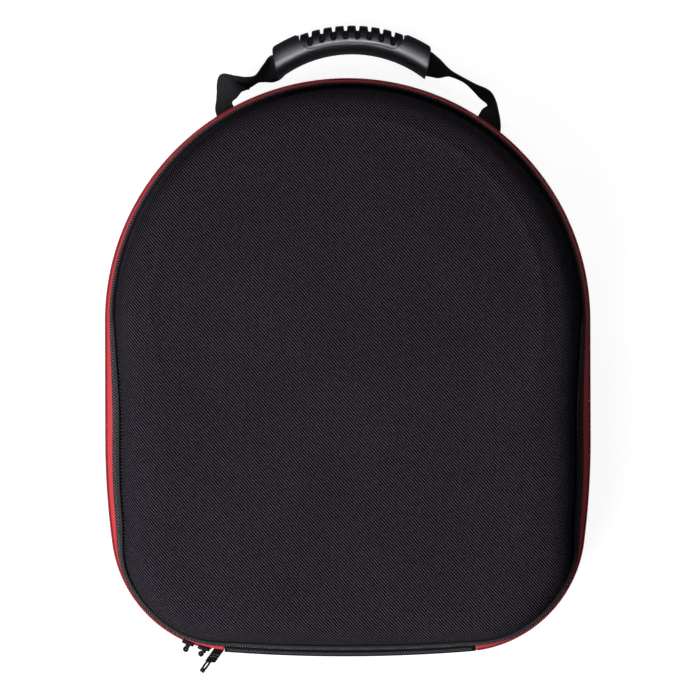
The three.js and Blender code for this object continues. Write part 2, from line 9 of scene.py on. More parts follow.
import bpy
import numpy as np
from bpy.props import FloatProperty, FloatVectorProperty, PointerProperty
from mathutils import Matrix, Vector


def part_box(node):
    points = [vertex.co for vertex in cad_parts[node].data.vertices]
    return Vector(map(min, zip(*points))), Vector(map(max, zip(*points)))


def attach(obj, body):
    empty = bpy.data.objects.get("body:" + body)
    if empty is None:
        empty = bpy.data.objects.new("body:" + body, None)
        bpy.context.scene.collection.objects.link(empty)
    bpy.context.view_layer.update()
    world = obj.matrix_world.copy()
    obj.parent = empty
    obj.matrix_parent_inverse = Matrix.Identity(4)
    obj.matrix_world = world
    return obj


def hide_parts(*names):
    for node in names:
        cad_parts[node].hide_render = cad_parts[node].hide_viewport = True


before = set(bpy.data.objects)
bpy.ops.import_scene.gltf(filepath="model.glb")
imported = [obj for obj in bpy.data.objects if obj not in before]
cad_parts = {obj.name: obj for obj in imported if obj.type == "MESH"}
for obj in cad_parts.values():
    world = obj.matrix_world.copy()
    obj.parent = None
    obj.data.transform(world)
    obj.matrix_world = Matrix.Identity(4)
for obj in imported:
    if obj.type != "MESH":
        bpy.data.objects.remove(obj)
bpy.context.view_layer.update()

bl_info = {
    "name": "Zipped Cable Case",
    "version": (1, 0, 0),
    "blender": (4, 5, 0),
    "location": "3D View > Sidebar > Cable Case",
    "description": "Builds a moulded, cloth-covered case with a zip, a hinge tape and a carrying grip",
    "category": "Object",
}

MM = 0.001
CASE_BODY = "case"

CHAIN_LOW, CHAIN_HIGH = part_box("zip_chain")
HINGE_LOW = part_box("hinge_tape")[0]
FRONT_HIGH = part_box("front_shell")[1]

# Outline of the zip's outer face, besides its width and height
SIDE_BOW_RADIUS = 560 * MM
SIDE_BOW_START = -50 * MM
BOTTOM_BOW_RADIUS = 1100 * MM

# Rim and shoulder of a half shell in millimetres, from the middle of the hinge (along 0) to the top
# of the arch (along 1): inset from the zip's face, width of the stitched flange, width and height of
# the shoulder's rounding, and width of the shallow apron from there to the flat face.
RIM = np.array(
    [
        # along, inset, flange, shoulder, rise, apron
        (0.00, 5.5, 3.2, 16, 16, 12),
        (0.12, 5.2, 3.2, 16, 16, 12),
        (0.20, 2.6, 3.0, 20, 20, 14),
        (0.28, 2.6, 3.2, 22, 22, 16),
        (0.36, 5.2, 5.1, 22, 22, 18),
        (0.46, 6.1, 5.1, 22, 23, 16),
        (0.60, 4.0, 3.2, 17.6, 28, 12),
        (0.80, 3.5, 2.8, 16, 30, 11),
        (1.00, 3.5, 2.8, 16, 30, 11),
    ]
)
GAP = 0.3 * MM
HALF_BAND = 7 * MM
SHELL_WALL = 4 * MM
SHELL_BEAD = 0.8 * MM
BEAD_LEVEL = 1.7 * MM
FLANGE_LEVEL = 0.8 * MM
FLANGE_EDGE = 0.4 * MM
SHELL_DRAFT = math.radians(5)
SHOULDER_END = math.radians(76)
CHANNEL_RADIUS = 1.1 * MM
ARCH_CHANNEL = 1.7 * MM
TAPE_UNDER_RIM = 0.6 * MM
CHAIN_LEFT_END = -96 * MM
HINGE_LEFT_END = -87 * MM
HINGE_RIGHT_END = 89.5 * MM
# Shares of the way from hinge to arch: where rim sizes start to ease to the arch's, and how long it takes
ARCH_START = 0.52
ARCH_EASE = 0.14
SEARCH_STEPS = 4000


class CaseSizes(bpy.types.PropertyGroup):
    """Sizes of the case, its sewing and its handle."""

    width: FloatProperty(
        name="Width",
        description="Case across the zip's outer face",
        default=CHAIN_HIGH.x - CHAIN_LOW.x,
        unit="LENGTH",
    )
    height: FloatProperty(
        name="Height",
        description="Case from the hinge tape to the top of the arch",
        default=CHAIN_HIGH.y - HINGE_LOW.y,
        unit="LENGTH",
    )
    depth: FloatProperty(
        name="Depth",
        description="Case from the back face to the front face",
        default=FRONT_HIGH.z,
        unit="LENGTH",
    )
    corner_radius: FloatProperty(
        name="Corner radius",
        description="Rounding of the two lower corners",
        default=88 * MM,
        unit="LENGTH",
    )
    ridge: FloatProperty(
        name="Ridge",
        description="How far the moulded ridge stands up where the shoulder meets the face",
        default=0.8 * MM,
        unit="LENGTH",
    )
    thread_pitch: FloatProperty(
        name="Thread pitch",
        description="Distance between the threads of the shell's cloth",
        default=0.75 * MM,
        unit="LENGTH",
    )
    tooth_pitch: FloatProperty(
        name="Tooth pitch",
        description="Distance between two teeth on one side of the zip",
        default=1.4 * MM,
        unit="LENGTH",
    )
    stitch_pitch: FloatProperty(
        name="Stitch pitch",
        description="Distance between the slanted stitches round the rim",
        default=1.9 * MM,
        unit="LENGTH",
    )
    strap_width: FloatProperty(
        name="Strap width",
        description="Width of the webbing",
        default=22 * MM,
        unit="LENGTH",
    )
    strap_thickness: FloatProperty(
        name="Strap thickness",
        description="Thickness of the webbing",
        default=1.8 * MM,
        unit="LENGTH",
    )


class CaseColours(bpy.types.PropertyGroup):
    """Colours of the case's cloth, tapes, metal and grip."""

    # The cloth colour shows at full strength only on the floats' crowns, as a painted highlight; elsewhere
    # the weave paints it darker as painted shade.
    cloth: FloatVectorProperty(
        name="Cloth",
        description="Threads of the shell's cloth that lie on top",
        default=(0.138, 0.1195, 0.155),
        subtype="COLOR",
    )
    red: FloatVectorProperty(
        name="Zip tape",
        description="Woven tape of the zip",
        default=(0.88, 0.066, 0.08),
        subtype="COLOR",
    )
    teeth: FloatVectorProperty(
        name="Zip teeth",
        description="Coil of the zip",
        default=(0.42, 0.02, 0.03),
        subtype="COLOR",
    )
    tape: FloatVectorProperty(
        name="Black tape",
        description="Hinge tape, lock tab and webbing",
        default=(0.008, 0.008, 0.009),
        subtype="COLOR",
    )
    thread: FloatVectorProperty(
        name="Thread",
        description="Sewing thread round the rim",
        default=(0.2, 0.19, 0.2),
        subtype="COLOR",
    )
    lip: FloatVectorProperty(
        name="Lip",
        description="Moulded lip round the rim",
        default=(0.038, 0.039, 0.044),
        subtype="COLOR",
    )
    metal: FloatVectorProperty(
        name="Metal",
        description="Paint of the sliders, pulls and lock plate",
        default=(0.004, 0.004, 0.005),
        subtype="COLOR",
    )
    grip: FloatVectorProperty(
        name="Grip",
        description="Moulded plastic of the grip",
        default=(0.01, 0.0105, 0.0145),
        subtype="COLOR",
    )
    pad: FloatVectorProperty(
        name="Pad",
        description="Ribbed rubber on the grip",
        default=(0.007, 0.0072, 0.009),
        subtype="COLOR",
    )
    floor: FloatVectorProperty(
        name="Floor",
        description="Pale floor under the case",
        default=(0.3, 0.3, 0.3),
        subtype="COLOR",
    )


# Shared formulas


def smooth(t):
    """Eases from 0 to 1 as t does: three t squared less two t cubed."""
    t = np.clip(t, 0.0, 1.0)
    return t * t * (3.0 - 2.0 * t)


def signed_power(value, power):
    """The power of a number's size, with the number's sign."""
    return np.sign(value) * np.abs(value) ** power


def bell(distance, width):
    """A hump one high at distance 0 that dies away over a few widths."""
    return np.exp(-((distance / width) ** 2))


class Outline:
    """Outline of the zip's outer face: bowed bottom, round corner, bowed side, straight side and arch,
    each an arc about a middle, mirrored on the left. The straight side's middle slides upward."""

    def __init__(self, sizes):
        arch = sizes.width / 2
        arch_y = sizes.height / 2 - arch
        side = np.array([arch - SIDE_BOW_RADIUS, SIDE_BOW_START])
        bottom = np.array([0.0, BOTTOM_BOW_RADIUS - sizes.height / 2])
        corner = self.corner_middle(side, bottom, sizes.corner_radius)
        bottom_turn = math.atan2(*(corner - bottom)[::-1])
        side_turn = math.atan2(*(corner - side)[::-1])
        straight = np.array([0.0, SIDE_BOW_START])
        top = np.array([0.0, arch_y])
        self.first_middle = np.array([bottom, corner, side, straight, top])
        self.last_middle = np.array([bottom, corner, side, top, top])
        self.radius = np.array([BOTTOM_BOW_RADIUS, sizes.corner_radius, SIDE_BOW_RADIUS, arch, arch])
        self.first_turn = np.array([-math.pi / 2, bottom_turn, side_turn, 0.0, 0.0])
        self.last_turn = np.array([bottom_turn, side_turn, 0.0, 0.0, math.pi / 2])
        slides = np.linalg.norm(self.last_middle - self.first_middle, axis=1)
        self.length = self.radius * np.abs(self.last_turn - self.first_turn) + slides
        self.start = np.concatenate([[0.0], np.cumsum(self.length)[:-1]])
        self.half = self.length.sum()
        self.middle = sizes.depth / 2

    @staticmethod
    def corner_middle(side, bottom, radius):
        """Middle of the circle that touches the bowed side and the bowed bottom from within."""
        side_reach = SIDE_BOW_RADIUS - radius
        bottom_reach = BOTTOM_BOW_RADIUS - radius
        apart = bottom - side
        distance = np.linalg.norm(apart)
        along = (side_reach**2 - bottom_reach**2 + distance**2) / (2 * distance)
        aside = math.sqrt(side_reach**2 - along**2)
        way = apart / distance
        return side + way * along + np.array([way[1], -way[0]]) * aside

    def at(self, distance):
        """Points, outward normals and along, 0 to 1, at distances anticlockwise from the bottom middle."""
        wrapped = np.mod(distance, 2 * self.half)
        left = wrapped > self.half
        rest = np.where(left, 2 * self.half - wrapped, wrapped)
        index = np.clip(np.searchsorted(self.start, rest, side="right") - 1, 0, len(self.start) - 1)
        part = np.clip((rest - self.start[index]) / self.length[index], 0.0, 1.0)
        turn = self.first_turn[index] + (self.last_turn - self.first_turn)[index] * part
        slide = (self.last_middle - self.first_middle)[index] * part[..., None]
        normal = np.stack([np.cos(turn), np.sin(turn)], axis=-1)
        point = self.first_middle[index] + slide + normal * self.radius[index][..., None]
        mirror = np.stack([np.where(left, -1.0, 1.0), np.ones_like(rest)], axis=-1)
        return point * mirror, normal * mirror, rest / self.half

    def distance_at_x(self, x):
        """Distance to the place on the bottom or a lower corner with this x."""
        distances = np.linspace(0.0, self.length[0] + self.length[1], SEARCH_STEPS)
        found = float(np.interp(abs(x), self.at(distances)[0][:, 0], distances))
        return found if x >= 0 else 2 * self.half - found

    @staticmethod
    def rim(along):
        """Inset, flange, shoulder, rise and apron, eased between the rows of the table."""
        index = np.clip(np.searchsorted(RIM[:, 0], along) - 1, 0, len(RIM) - 2)
        lower, upper = RIM[index], RIM[index + 1]
        share = smooth((along - lower[..., 0]) / (upper[..., 0] - lower[..., 0]))[..., None]
        mixed = (lower + (upper - lower) * share)[..., 1:] * MM
        return np.moveaxis(mixed, -1, 0)


def toward_arch(along, below, above):
    """A size that eases from its value below the arch to its value on it."""
    return below + (above - below) * smooth((along - ARCH_START) / ARCH_EASE)


def place(points, normals, offset, z):
    """Points in space at offsets along the outline's normals and at heights."""
    flat = points + normals * offset[..., None]
    height = np.broadcast_to(z, flat.shape[:-1])
    return np.concatenate([flat, height[..., None]], axis=-1)


# Meshes from arrays


def grid_quads(rows, columns, wrap_rows):
    """Corner numbers of the quads of a grid that closes on itself across its columns."""
    i = np.arange(rows if wrap_rows else rows - 1)[:, None]
    j = np.arange(columns)[None, :]
    below, beside = (i + 1) % rows, (j + 1) % columns
    corners = (i * columns + j, below * columns + j, below * columns + beside, i * columns + beside)
    return np.stack(np.broadcast_arrays(*corners), axis=-1).reshape(-1, 4)


def volume_of(points, quads, triangles):
    """Six times the signed volume inside closed faces: a sum over tetrahedra from their middle."""
    middle = points.mean(axis=0)
    sides = np.concatenate([quads[:, [0, 1, 2]], quads[:, [0, 2, 3]], triangles])
    a, b, c = (points[sides[:, k]] - middle for k in range(3))
    return np.einsum("ij,ij->", a, np.cross(b, c))


class Surface:
    """Closed bodies gathered into one mesh: their points, faces and flat coordinates."""

    def __init__(self):
        self.points = []
        self.flat = []
        self.quads = []
        self.triangles = []
        self.count = 0

    def add(self, points, quads, triangles, flat):
        """Takes one closed body, with its faces turned outward."""
        if volume_of(points, quads, triangles) < 0:
            quads, triangles = quads[:, ::-1], triangles[:, ::-1]
        self.points.append(points)
        self.flat.append(flat)
        self.quads.append(quads + self.count)
        self.triangles.append(triangles + self.count)
        self.count += len(points)

    def add_lofts(self, rings, flat=None, poles=None):
        """Bodies of closed rings joined in order, each end closed by a fan to a pole.
        rings is (bodies, rings, points, 3) or one body without the first axis."""
        rings = rings if rings.ndim == 4 else rings[None]
        bodies, count, size, _ = rings.shape
        if poles is None:
            poles = rings[:, [0, -1]].mean(axis=2)
        points = np.concatenate([rings.reshape(bodies, -1, 3), poles.reshape(bodies, 2, 3)], axis=1)
        if flat is None:
            flat = rings[..., :2]
        flat = flat.reshape(bodies, -1, 2)
        ends = np.stack([flat[:, :size].mean(axis=1), flat[:, -size:].mean(axis=1)], axis=1)
        flat = np.concatenate([flat, ends], axis=1)
        each = points.shape[1]
        step = (np.arange(bodies) * each)[:, None, None]
        ring = np.arange(size)
        following = (ring + 1) % size
        last = (count - 1) * size
        first_fan = np.stack([np.full(size, each - 2), ring, following], axis=-1)
        last_fan = np.stack([np.full(size, each - 1), last + following, last + ring], axis=-1)
        fans = np.concatenate([first_fan, last_fan])
        quads = (grid_quads(count, size, False)[None] + step).reshape(-1, 4)
        triangles = (fans[None] + step).reshape(-1, 3)
        self.add(points.reshape(-1, 3), quads, triangles, flat.reshape(-1, 2))

    def add_hoop(self, rings):
        """One body of closed rings joined in a circle."""
        count, size, _ = rings.shape
        none = np.zeros((0, 3), int)
        points = rings.reshape(-1, 3)
        self.add(points, grid_quads(count, size, True), none, points[:, :2])

    def mesh(self, name):
        """The gathered bodies as a smooth mesh with its flat coordinates in the UV map cut."""
        points = np.concatenate(self.points)
        quads = np.concatenate(self.quads)
        triangles = np.concatenate(self.triangles)
        corners = np.concatenate([quads.ravel(), triangles.ravel()])
        sizes = np.concatenate([np.full(len(quads), 4), np.full(len(triangles), 3)])
        mesh = bpy.data.meshes.new(name)
        mesh.vertices.add(len(points))
        mesh.vertices.foreach_set("co", points.astype(np.float32).ravel())
        mesh.loops.add(len(corners))
        mesh.loops.foreach_set("vertex_index", corners.astype(np.int32))
        mesh.polygons.add(len(sizes))
        starts = np.concatenate([[0], np.cumsum(sizes)[:-1]])
        mesh.polygons.foreach_set("loop_start", starts.astype(np.int32))
        mesh.polygons.foreach_set("use_smooth", np.ones(len(sizes), bool))
        mesh.update(calc_edges=True)
        cut = mesh.uv_layers.new(name="cut")
        cut.data.foreach_set("uv", np.concatenate(self.flat)[corners].astype(np.float32).ravel())
        mesh.validate()
        return mesh


def make_piece(name, surface, material, body=CASE_BODY, stands_for=()):
    """A piece that rides on a body, takes the given finish and may stand for solids, which it hides."""
    piece = bpy.data.objects.new(name, surface.mesh(name))
    bpy.context.scene.collection.objects.link(piece)
    piece.data.materials.append(material)
    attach(piece, body)
    if stands_for:
        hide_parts(*stands_for)
    return piece


def section(half_a, half_b, power, sides):
    """A rounded section: signed powers of cosine and sine, times the half sizes."""
    turn = np.linspace(0.0, 2 * math.pi, sides, endpoint=False)
    across = signed_power(np.cos(turn), power)
    through = signed_power(np.sin(turn), power)
    return np.multiply.outer(half_a, across), np.multiply.outer(half_b, through)


LEAST_SHRINK = 0.02
END_SHARE = 0.12


def rounded_bar(path, axis_a, axis_b, half_a, half_b, power, sides, rounding):
    """Rings of a bar along a path of points, whose ends shrink like a quarter circle over the rounding,
    in millimetres."""
    path = np.asarray(path, float)
    steps = np.linalg.norm(np.diff(path, axis=0), axis=1)
    along = np.concatenate([[0.0], np.cumsum(steps)])
    reach = np.minimum(along, along[-1] - along)
    part = np.clip(reach / (rounding * MM), 0.0, 1.0)
    shrink = np.sqrt(np.clip(1 - (1 - part) ** 2, LEAST_SHRINK, 1.0))
    a, b = section(half_a * shrink, half_b * shrink, power, sides)
    return path[:, None] + a[..., None] * np.asarray(axis_a) + b[..., None] * np.asarray(axis_b)


def straight_path(start, end, near_ends=6, middle=6):
    """Points from start to end, close together near both ends."""
    share = np.concatenate(
        [
            np.linspace(0.0, END_SHARE, near_ends, endpoint=False),
            np.linspace(END_SHARE, 1 - END_SHARE, middle),
            np.linspace(1 - END_SHARE, 1.0, near_ends + 1)[1:],
        ]
    )
    return np.asarray(start) + np.multiply.outer(share, np.asarray(end) - np.asarray(start))


# Finishes

# Places of a colour mix's sockets: share, first colour, second colour and result
MIX_SHARE, MIX_FIRST, MIX_SECOND, MIX_RESULT = 0, 6, 7, 2
PICK_SPACING = 1.08
# Share of the cloth colour painted into the weave's valleys: painted shade between the threads.
CLOTH_VALLEY_SHADE = 0.02
THREAD_WANDER = 0.2
PILLOW_ROUND = 0.45
TWILL_REPEAT = 3.0
# Narrowness of each float's crown; in the cloth's colour it also narrows the painted highlight on each
# crown.
FLOAT_POWER = 8.0
THREAD_ROUND = 0.6
FINE_SHARE = 0.25
BARE_METAL = (0.05, 0.05, 0.052)


def add_node(tree, kind, inputs=None, **settings):
    """A shader node with its settings; an input is a value or a socket to link."""
    node = tree.nodes.new(kind)
    for key, value in settings.items():
        setattr(node, key, value)
    for key, value in (inputs or {}).items():
        if isinstance(value, bpy.types.NodeSocket):
            tree.links.new(value, node.inputs[key])
        else:
            node.inputs[key].default_value = value
    return node


def reckon(tree, operation, *values):
    """A math node's result."""
    return add_node(tree, "ShaderNodeMath", dict(enumerate(values)), operation=operation).outputs[0]


def blend_colours(tree, share, first, second):
    """A colour between two, by share."""
    inputs = {MIX_SHARE: share, MIX_FIRST: (*first, 1.0), MIX_SECOND: (*second, 1.0)}
    return add_node(tree, "ShaderNodeMix", inputs, data_type="RGBA").outputs[MIX_RESULT]


def tint(colour, amount):
    """A colour made lighter or darker."""
    return tuple(min(channel * amount, 1.0) for channel in colour)


def start_finish(name, roughness, **sockets):
    """A material with its shader's even values set, and its tree and shader."""
    material = bpy.data.materials.new(name)
    material.use_nodes = True
    tree = material.node_tree
    shader = tree.nodes["Principled BSDF"]
    shader.inputs["Roughness"].default_value = roughness
    for key, value in sockets.items():
        shader.inputs[key.replace("_", " ")].default_value = value
    return material, tree, shader


def colour_between(tree, shader, share, first, second):
    """Sets a shader's colour between two, by share."""
    tree.links.new(blend_colours(tree, share, first, second), shader.inputs["Base Color"])


def mapped(tree, value, low, high, first, last):
    """A value's way from low to high turned into one from first to last."""
    inputs = {"Value": value, "From Min": low, "From Max": high, "To Min": first, "To Max": last}
    return add_node(tree, "ShaderNodeMapRange", inputs).outputs["Result"]


def flat_coordinates(tree):
    """Flat coordinates of a piece, from its UV map cut."""
    return add_node(tree, "ShaderNodeUVMap", uv_map="cut").outputs["UV"]


def counted_threads(tree, flat, pitch_u, pitch_v, wander_scale=400.0):
    """Flat coordinates counted in threads: each over its pitch, plus a little noise."""
    parts = add_node(tree, "ShaderNodeSeparateXYZ", {"Vector": flat})
    noise = add_node(tree, "ShaderNodeTexNoise", {"Vector": flat, "Scale": wander_scale, "Detail": 1.0})
    wander = add_node(tree, "ShaderNodeSeparateXYZ", {"Vector": noise.outputs["Color"]})
    counted = []
    for axis, pitch in (("X", pitch_u), ("Y", pitch_v)):
        even = reckon(tree, "DIVIDE", parts.outputs[axis], pitch)
        counted.append(reckon(tree, "MULTIPLY_ADD", wander.outputs[axis], THREAD_WANDER, even))
    return counted


def rounded_wave(tree, value):
    """Humps one high and one apart: the size of the sine of pi times the value."""
    return reckon(tree, "ABSOLUTE", reckon(tree, "SINE", reckon(tree, "MULTIPLY", value, math.pi)))


def object_noise(tree, scale, detail=2.0):
    """Noise over the part's own coordinates."""
    where = add_node(tree, "ShaderNodeTexCoord").outputs["Object"]
    inputs = {"Vector": where, "Scale": scale, "Detail": detail}
    return add_node(tree, "ShaderNodeTexNoise", inputs).outputs["Fac"]


def bump(tree, shader, height, depth, strength=1.0):
    """Sets a relief of the given depth in metres on a shader."""
    inputs = {"Height": height, "Distance": depth, "Strength": strength}
    relief = add_node(tree, "ShaderNodeBump", inputs).outputs["Normal"]
    tree.links.new(relief, shader.inputs["Normal"])


def plain_weave(tree, u, v):
    """Height of a plain weave: each cell is a pillow of its upper thread, a wave across the thread times
    part of the wave along it."""
    across_u, across_v = rounded_wave(tree, u), rounded_wave(tree, v)
    pillows = []
    for across, along in ((across_u, across_v), (across_v, across_u)):
        part = reckon(tree, "MULTIPLY_ADD", along, PILLOW_ROUND, 1 - PILLOW_ROUND)
        pillows.append(reckon(tree, "MULTIPLY", across, part))
    spot = add_node(tree, "ShaderNodeCombineXYZ", {"X": u, "Y": v, "Z": 0.5}).outputs["Vector"]
    upper = add_node(tree, "ShaderNodeTexChecker", {"Vector": spot, "Scale": 1.0}).outputs["Fac"]
    inputs = {"Factor": upper, "A": pillows[0], "B": pillows[1]}
    return add_node(tree, "ShaderNodeMix", inputs).outputs["Result"]


def twill_weave(tree, u, v):
    """Height of a twill and a random shade for each float: a warp thread goes over two picks and under
    the third, one pick further at each thread, and its crown is a sine's eighth power along the float."""
    number = reckon(tree, "FLOOR", u)
    run = reckon(tree, "DIVIDE", reckon(tree, "ADD", number, v), TWILL_REPEAT)
    crown = reckon(tree, "POWER", rounded_wave(tree, run), FLOAT_POWER)
    part = reckon(tree, "MULTIPLY_ADD", rounded_wave(tree, u), THREAD_ROUND, 1 - THREAD_ROUND)
    spot = add_node(tree, "ShaderNodeCombineXYZ", {"X": number, "Y": reckon(tree, "FLOOR", run)})
    chance = add_node(tree, "ShaderNodeTexWhiteNoise", {"Vector": spot.outputs["Vector"]})
    return reckon(tree, "MULTIPLY", crown, part), chance.outputs["Value"]


def shell_cloth_finish(sizes, colours):
    """Coarse twill whose floats differ in shade at random, faintly soiled and worn; each float's crown
    carries a painted highlight and the valleys between threads are painted dark as painted shade.
    """
    material, tree, shader = start_finish("shell_cloth_weave", roughness=0.8, Specular_IOR_Level=0.0)
    pitch = sizes.thread_pitch
    flat = flat_coordinates(tree)
    u, v = counted_threads(tree, flat, pitch, PICK_SPACING * pitch, wander_scale=260.0)
    lift, own_shade = twill_weave(tree, u, v)
    cloth = tuple(colours.cloth)
    # Painted light and shade: the colour follows the weave's height, full cloth colour on each crown as a
    # painted highlight and nearly black in the valleys as painted shade.
    crown_highlight_and_valley_shade = blend_colours(tree, lift, tint(cloth, CLOTH_VALLEY_SHADE), cloth)
    soil = add_node(tree, "ShaderNodeTexNoise", {"Vector": flat, "Scale": 14.0, "Detail": 3.0})
    fade = mapped(tree, soil.outputs["Fac"], low=0.3, high=0.7, first=0.92, last=1.08)
    own = mapped(tree, own_shade, low=0.0, high=1.0, first=0.82, last=1.18)
    amount = reckon(tree, "MULTIPLY", fade, own)
    soiled = add_node(tree, "ShaderNodeVectorMath", {0: crown_highlight_and_valley_shade, "Scale": amount}, operation="SCALE")
    tree.links.new(soiled.outputs["Vector"], shader.inputs["Base Color"])
    bump(tree, shader, lift, depth=0.16 * MM, strength=0.8)
    return material


def red_tape_finish(colours):
    """Fine ribbed zip tape: close cross ribs and a faint length-wise thread; the weave's tops are painted
    lighter as a painted highlight and its hollows darker as painted shade.
    """
    material, tree, shader = start_finish("zip_tape_weave", roughness=0.6, Specular_IOR_Level=0.5)
    u, v = counted_threads(tree, flat_coordinates(tree), pitch_u=0.9 * MM, pitch_v=0.6 * MM)
    lift = plain_weave(tree, u, v)
    red = tuple(colours.red)
    # Painted light and shade: the red is lighter where the weave stands up and darker in its hollows.
    share = mapped(tree, lift, low=0.0, high=1.0, first=0.15, last=0.85)
    colour_between(tree, shader, share, tint(red, 0.75), tint(red, 1.12))
    bump(tree, shader, lift, depth=0.1 * MM, strength=0.7)
    return material


def teeth_finish(colours):
    """Smooth nylon coil with slight differences of shade."""
    material, tree, shader = start_finish("zip_coil_nylon", roughness=0.38)
    shade = object_noise(tree, scale=180.0)
    colour_between(tree, shader, shade, tint(colours.teeth, 0.75), tint(colours.teeth, 1.25))
    bump(tree, shader, object_noise(tree, scale=2500.0), depth=0.03 * MM, strength=0.5)
    return material


def twill_finish(name, colours, pitch, amount):
    """Diagonal twill: ribs that step sideways along the tape, crossed by finer threads; its colour follows
    the ribs' height, amount setting how much lighter the rib tops are painted as a painted highlight, and
    the hollows are painted darker as painted shade."""
    material, tree, shader = start_finish(name, roughness=0.8, Specular_IOR_Level=0.03)
    u, v = counted_threads(tree, flat_coordinates(tree), pitch, pitch)
    rib = rounded_wave(tree, reckon(tree, "ADD", u, v))
    fine = rounded_wave(tree, reckon(tree, "MULTIPLY", u, 2.0))
    ribs = reckon(tree, "MULTIPLY", rib, 1 - FINE_SHARE)
    lift = reckon(tree, "MULTIPLY_ADD", fine, FINE_SHARE, ribs)
    tape = tuple(colours.tape)
    # Painted highlight and shade: rib tops lighter, hollows darker, by the ribs' height.
    colour_between(tree, shader, lift, tint(tape, 0.4), tint(tape, amount))
    bump(tree, shader, lift, depth=0.22 * MM, strength=0.8)
    return material


def webbing_finish(colours):
    """Heavy webbing: ribs along its length that cross threads bind in a herringbone; the rib tops are
    painted far lighter than the hollows, a painted highlight and painted shade.
    """
    material, tree, shader = start_finish("strap_webbing_weave", roughness=0.8, Specular_IOR_Level=0.03)
    u, v = counted_threads(tree, flat_coordinates(tree), pitch_u=1.4 * MM, pitch_v=1.25 * MM)
    zigzag = reckon(tree, "PINGPONG", u, 2.0)
    slanted = reckon(tree, "ADD", v, zigzag)
    lift = reckon(tree, "MULTIPLY", rounded_wave(tree, slanted), rounded_wave(tree, u))
    tape = tuple(colours.tape)
    # Painted highlight and shade: the black tape is painted much lighter on the rib tops and darker in the
    # hollows.
    colour_between(tree, shader, lift, tint(tape, 0.1), tint(tape, 8.5))
    bump(tree, shader, lift, depth=0.3 * MM, strength=0.8)
    return material


def thread_finish(colours):
    """Twisted polyester thread with a soft shine."""
    material, tree, shader = start_finish("sewing_thread", roughness=0.6, Specular_IOR_Level=0.1)
    shade = object_noise(tree, scale=600.0)
    colour_between(tree, shader, shade, tint(colours.thread, 0.6), tint(colours.thread, 1.5))
    bump(tree, shader, object_noise(tree, scale=3500.0), depth=0.05 * MM, strength=0.7)
    return material


def metal_finish(colours):
    """Black paint, a little uneven, with grey metal showing in fine scratches."""
    material, tree, shader = start_finish("black_painted_metal", roughness=0.42, Specular_IOR_Level=0.12)
    scratches = object_noise(tree, scale=900.0, detail=4.0)
    worn = mapped(tree, scratches, low=0.66, high=0.74, first=0.0, last=1.0)
    colour_between(tree, shader, worn, tuple(colours.metal), BARE_METAL)
    bump(tree, shader, object_noise(tree, scale=1400.0), depth=0.02 * MM, strength=0.5)
    return material


def moulded_finish(name, colour, roughness, shine, grain_scale, grain_depth):
    """Moulded plastic or rubber: a fine grain and slow changes of shade and gloss."""
    material, tree, shader = start_finish(name, roughness, Specular_IOR_Level=shine)
    slow = object_noise(tree, scale=35.0, detail=3.0)
    colour_between(tree, shader, slow, tint(colour, 0.8), tint(colour, 1.2))
    gloss = mapped(tree, slow, low=0.0, high=1.0, first=roughness - 0.06, last=roughness + 0.08)
    tree.links.new(gloss, shader.inputs["Roughness"])
    bump(tree, shader, object_noise(tree, grain_scale), grain_depth, strength=0.6)
    return material


# Half shells

SHELL_STATIONS = 600
FACE_RINGS = 30
APRON_RINGS = 16
SHOULDER_RINGS = 32
WALL_RINGS = 10
CHANNEL_RINGS = 9
BEAD_RINGS = 12
BEAD_SIDES = 14
LIP_RADIUS = 0.95 * MM
ARCH_LIP = 0.5 * MM
EDGE_RINGS = 7
INNER_RINGS = 10
INNER_FACE_SHARES = (0.75, 0.45, 0.15)
BEAD_END_TURN = -65
FACE_CROWDING = 1.5
RIDGE_WIDTH = 3 * MM
RIDGE_START = 0.42
RIDGE_EASE = 0.2
WAVE_START = 30 * MM
FACE_WAVE = 0.3 * MM
# The face's two slow waves in radians: turn across its width, up its height and at its middle
FACE_WAVES = ((7.3, 2.1, 0.6), (-2.7, 6.1, 1.9))


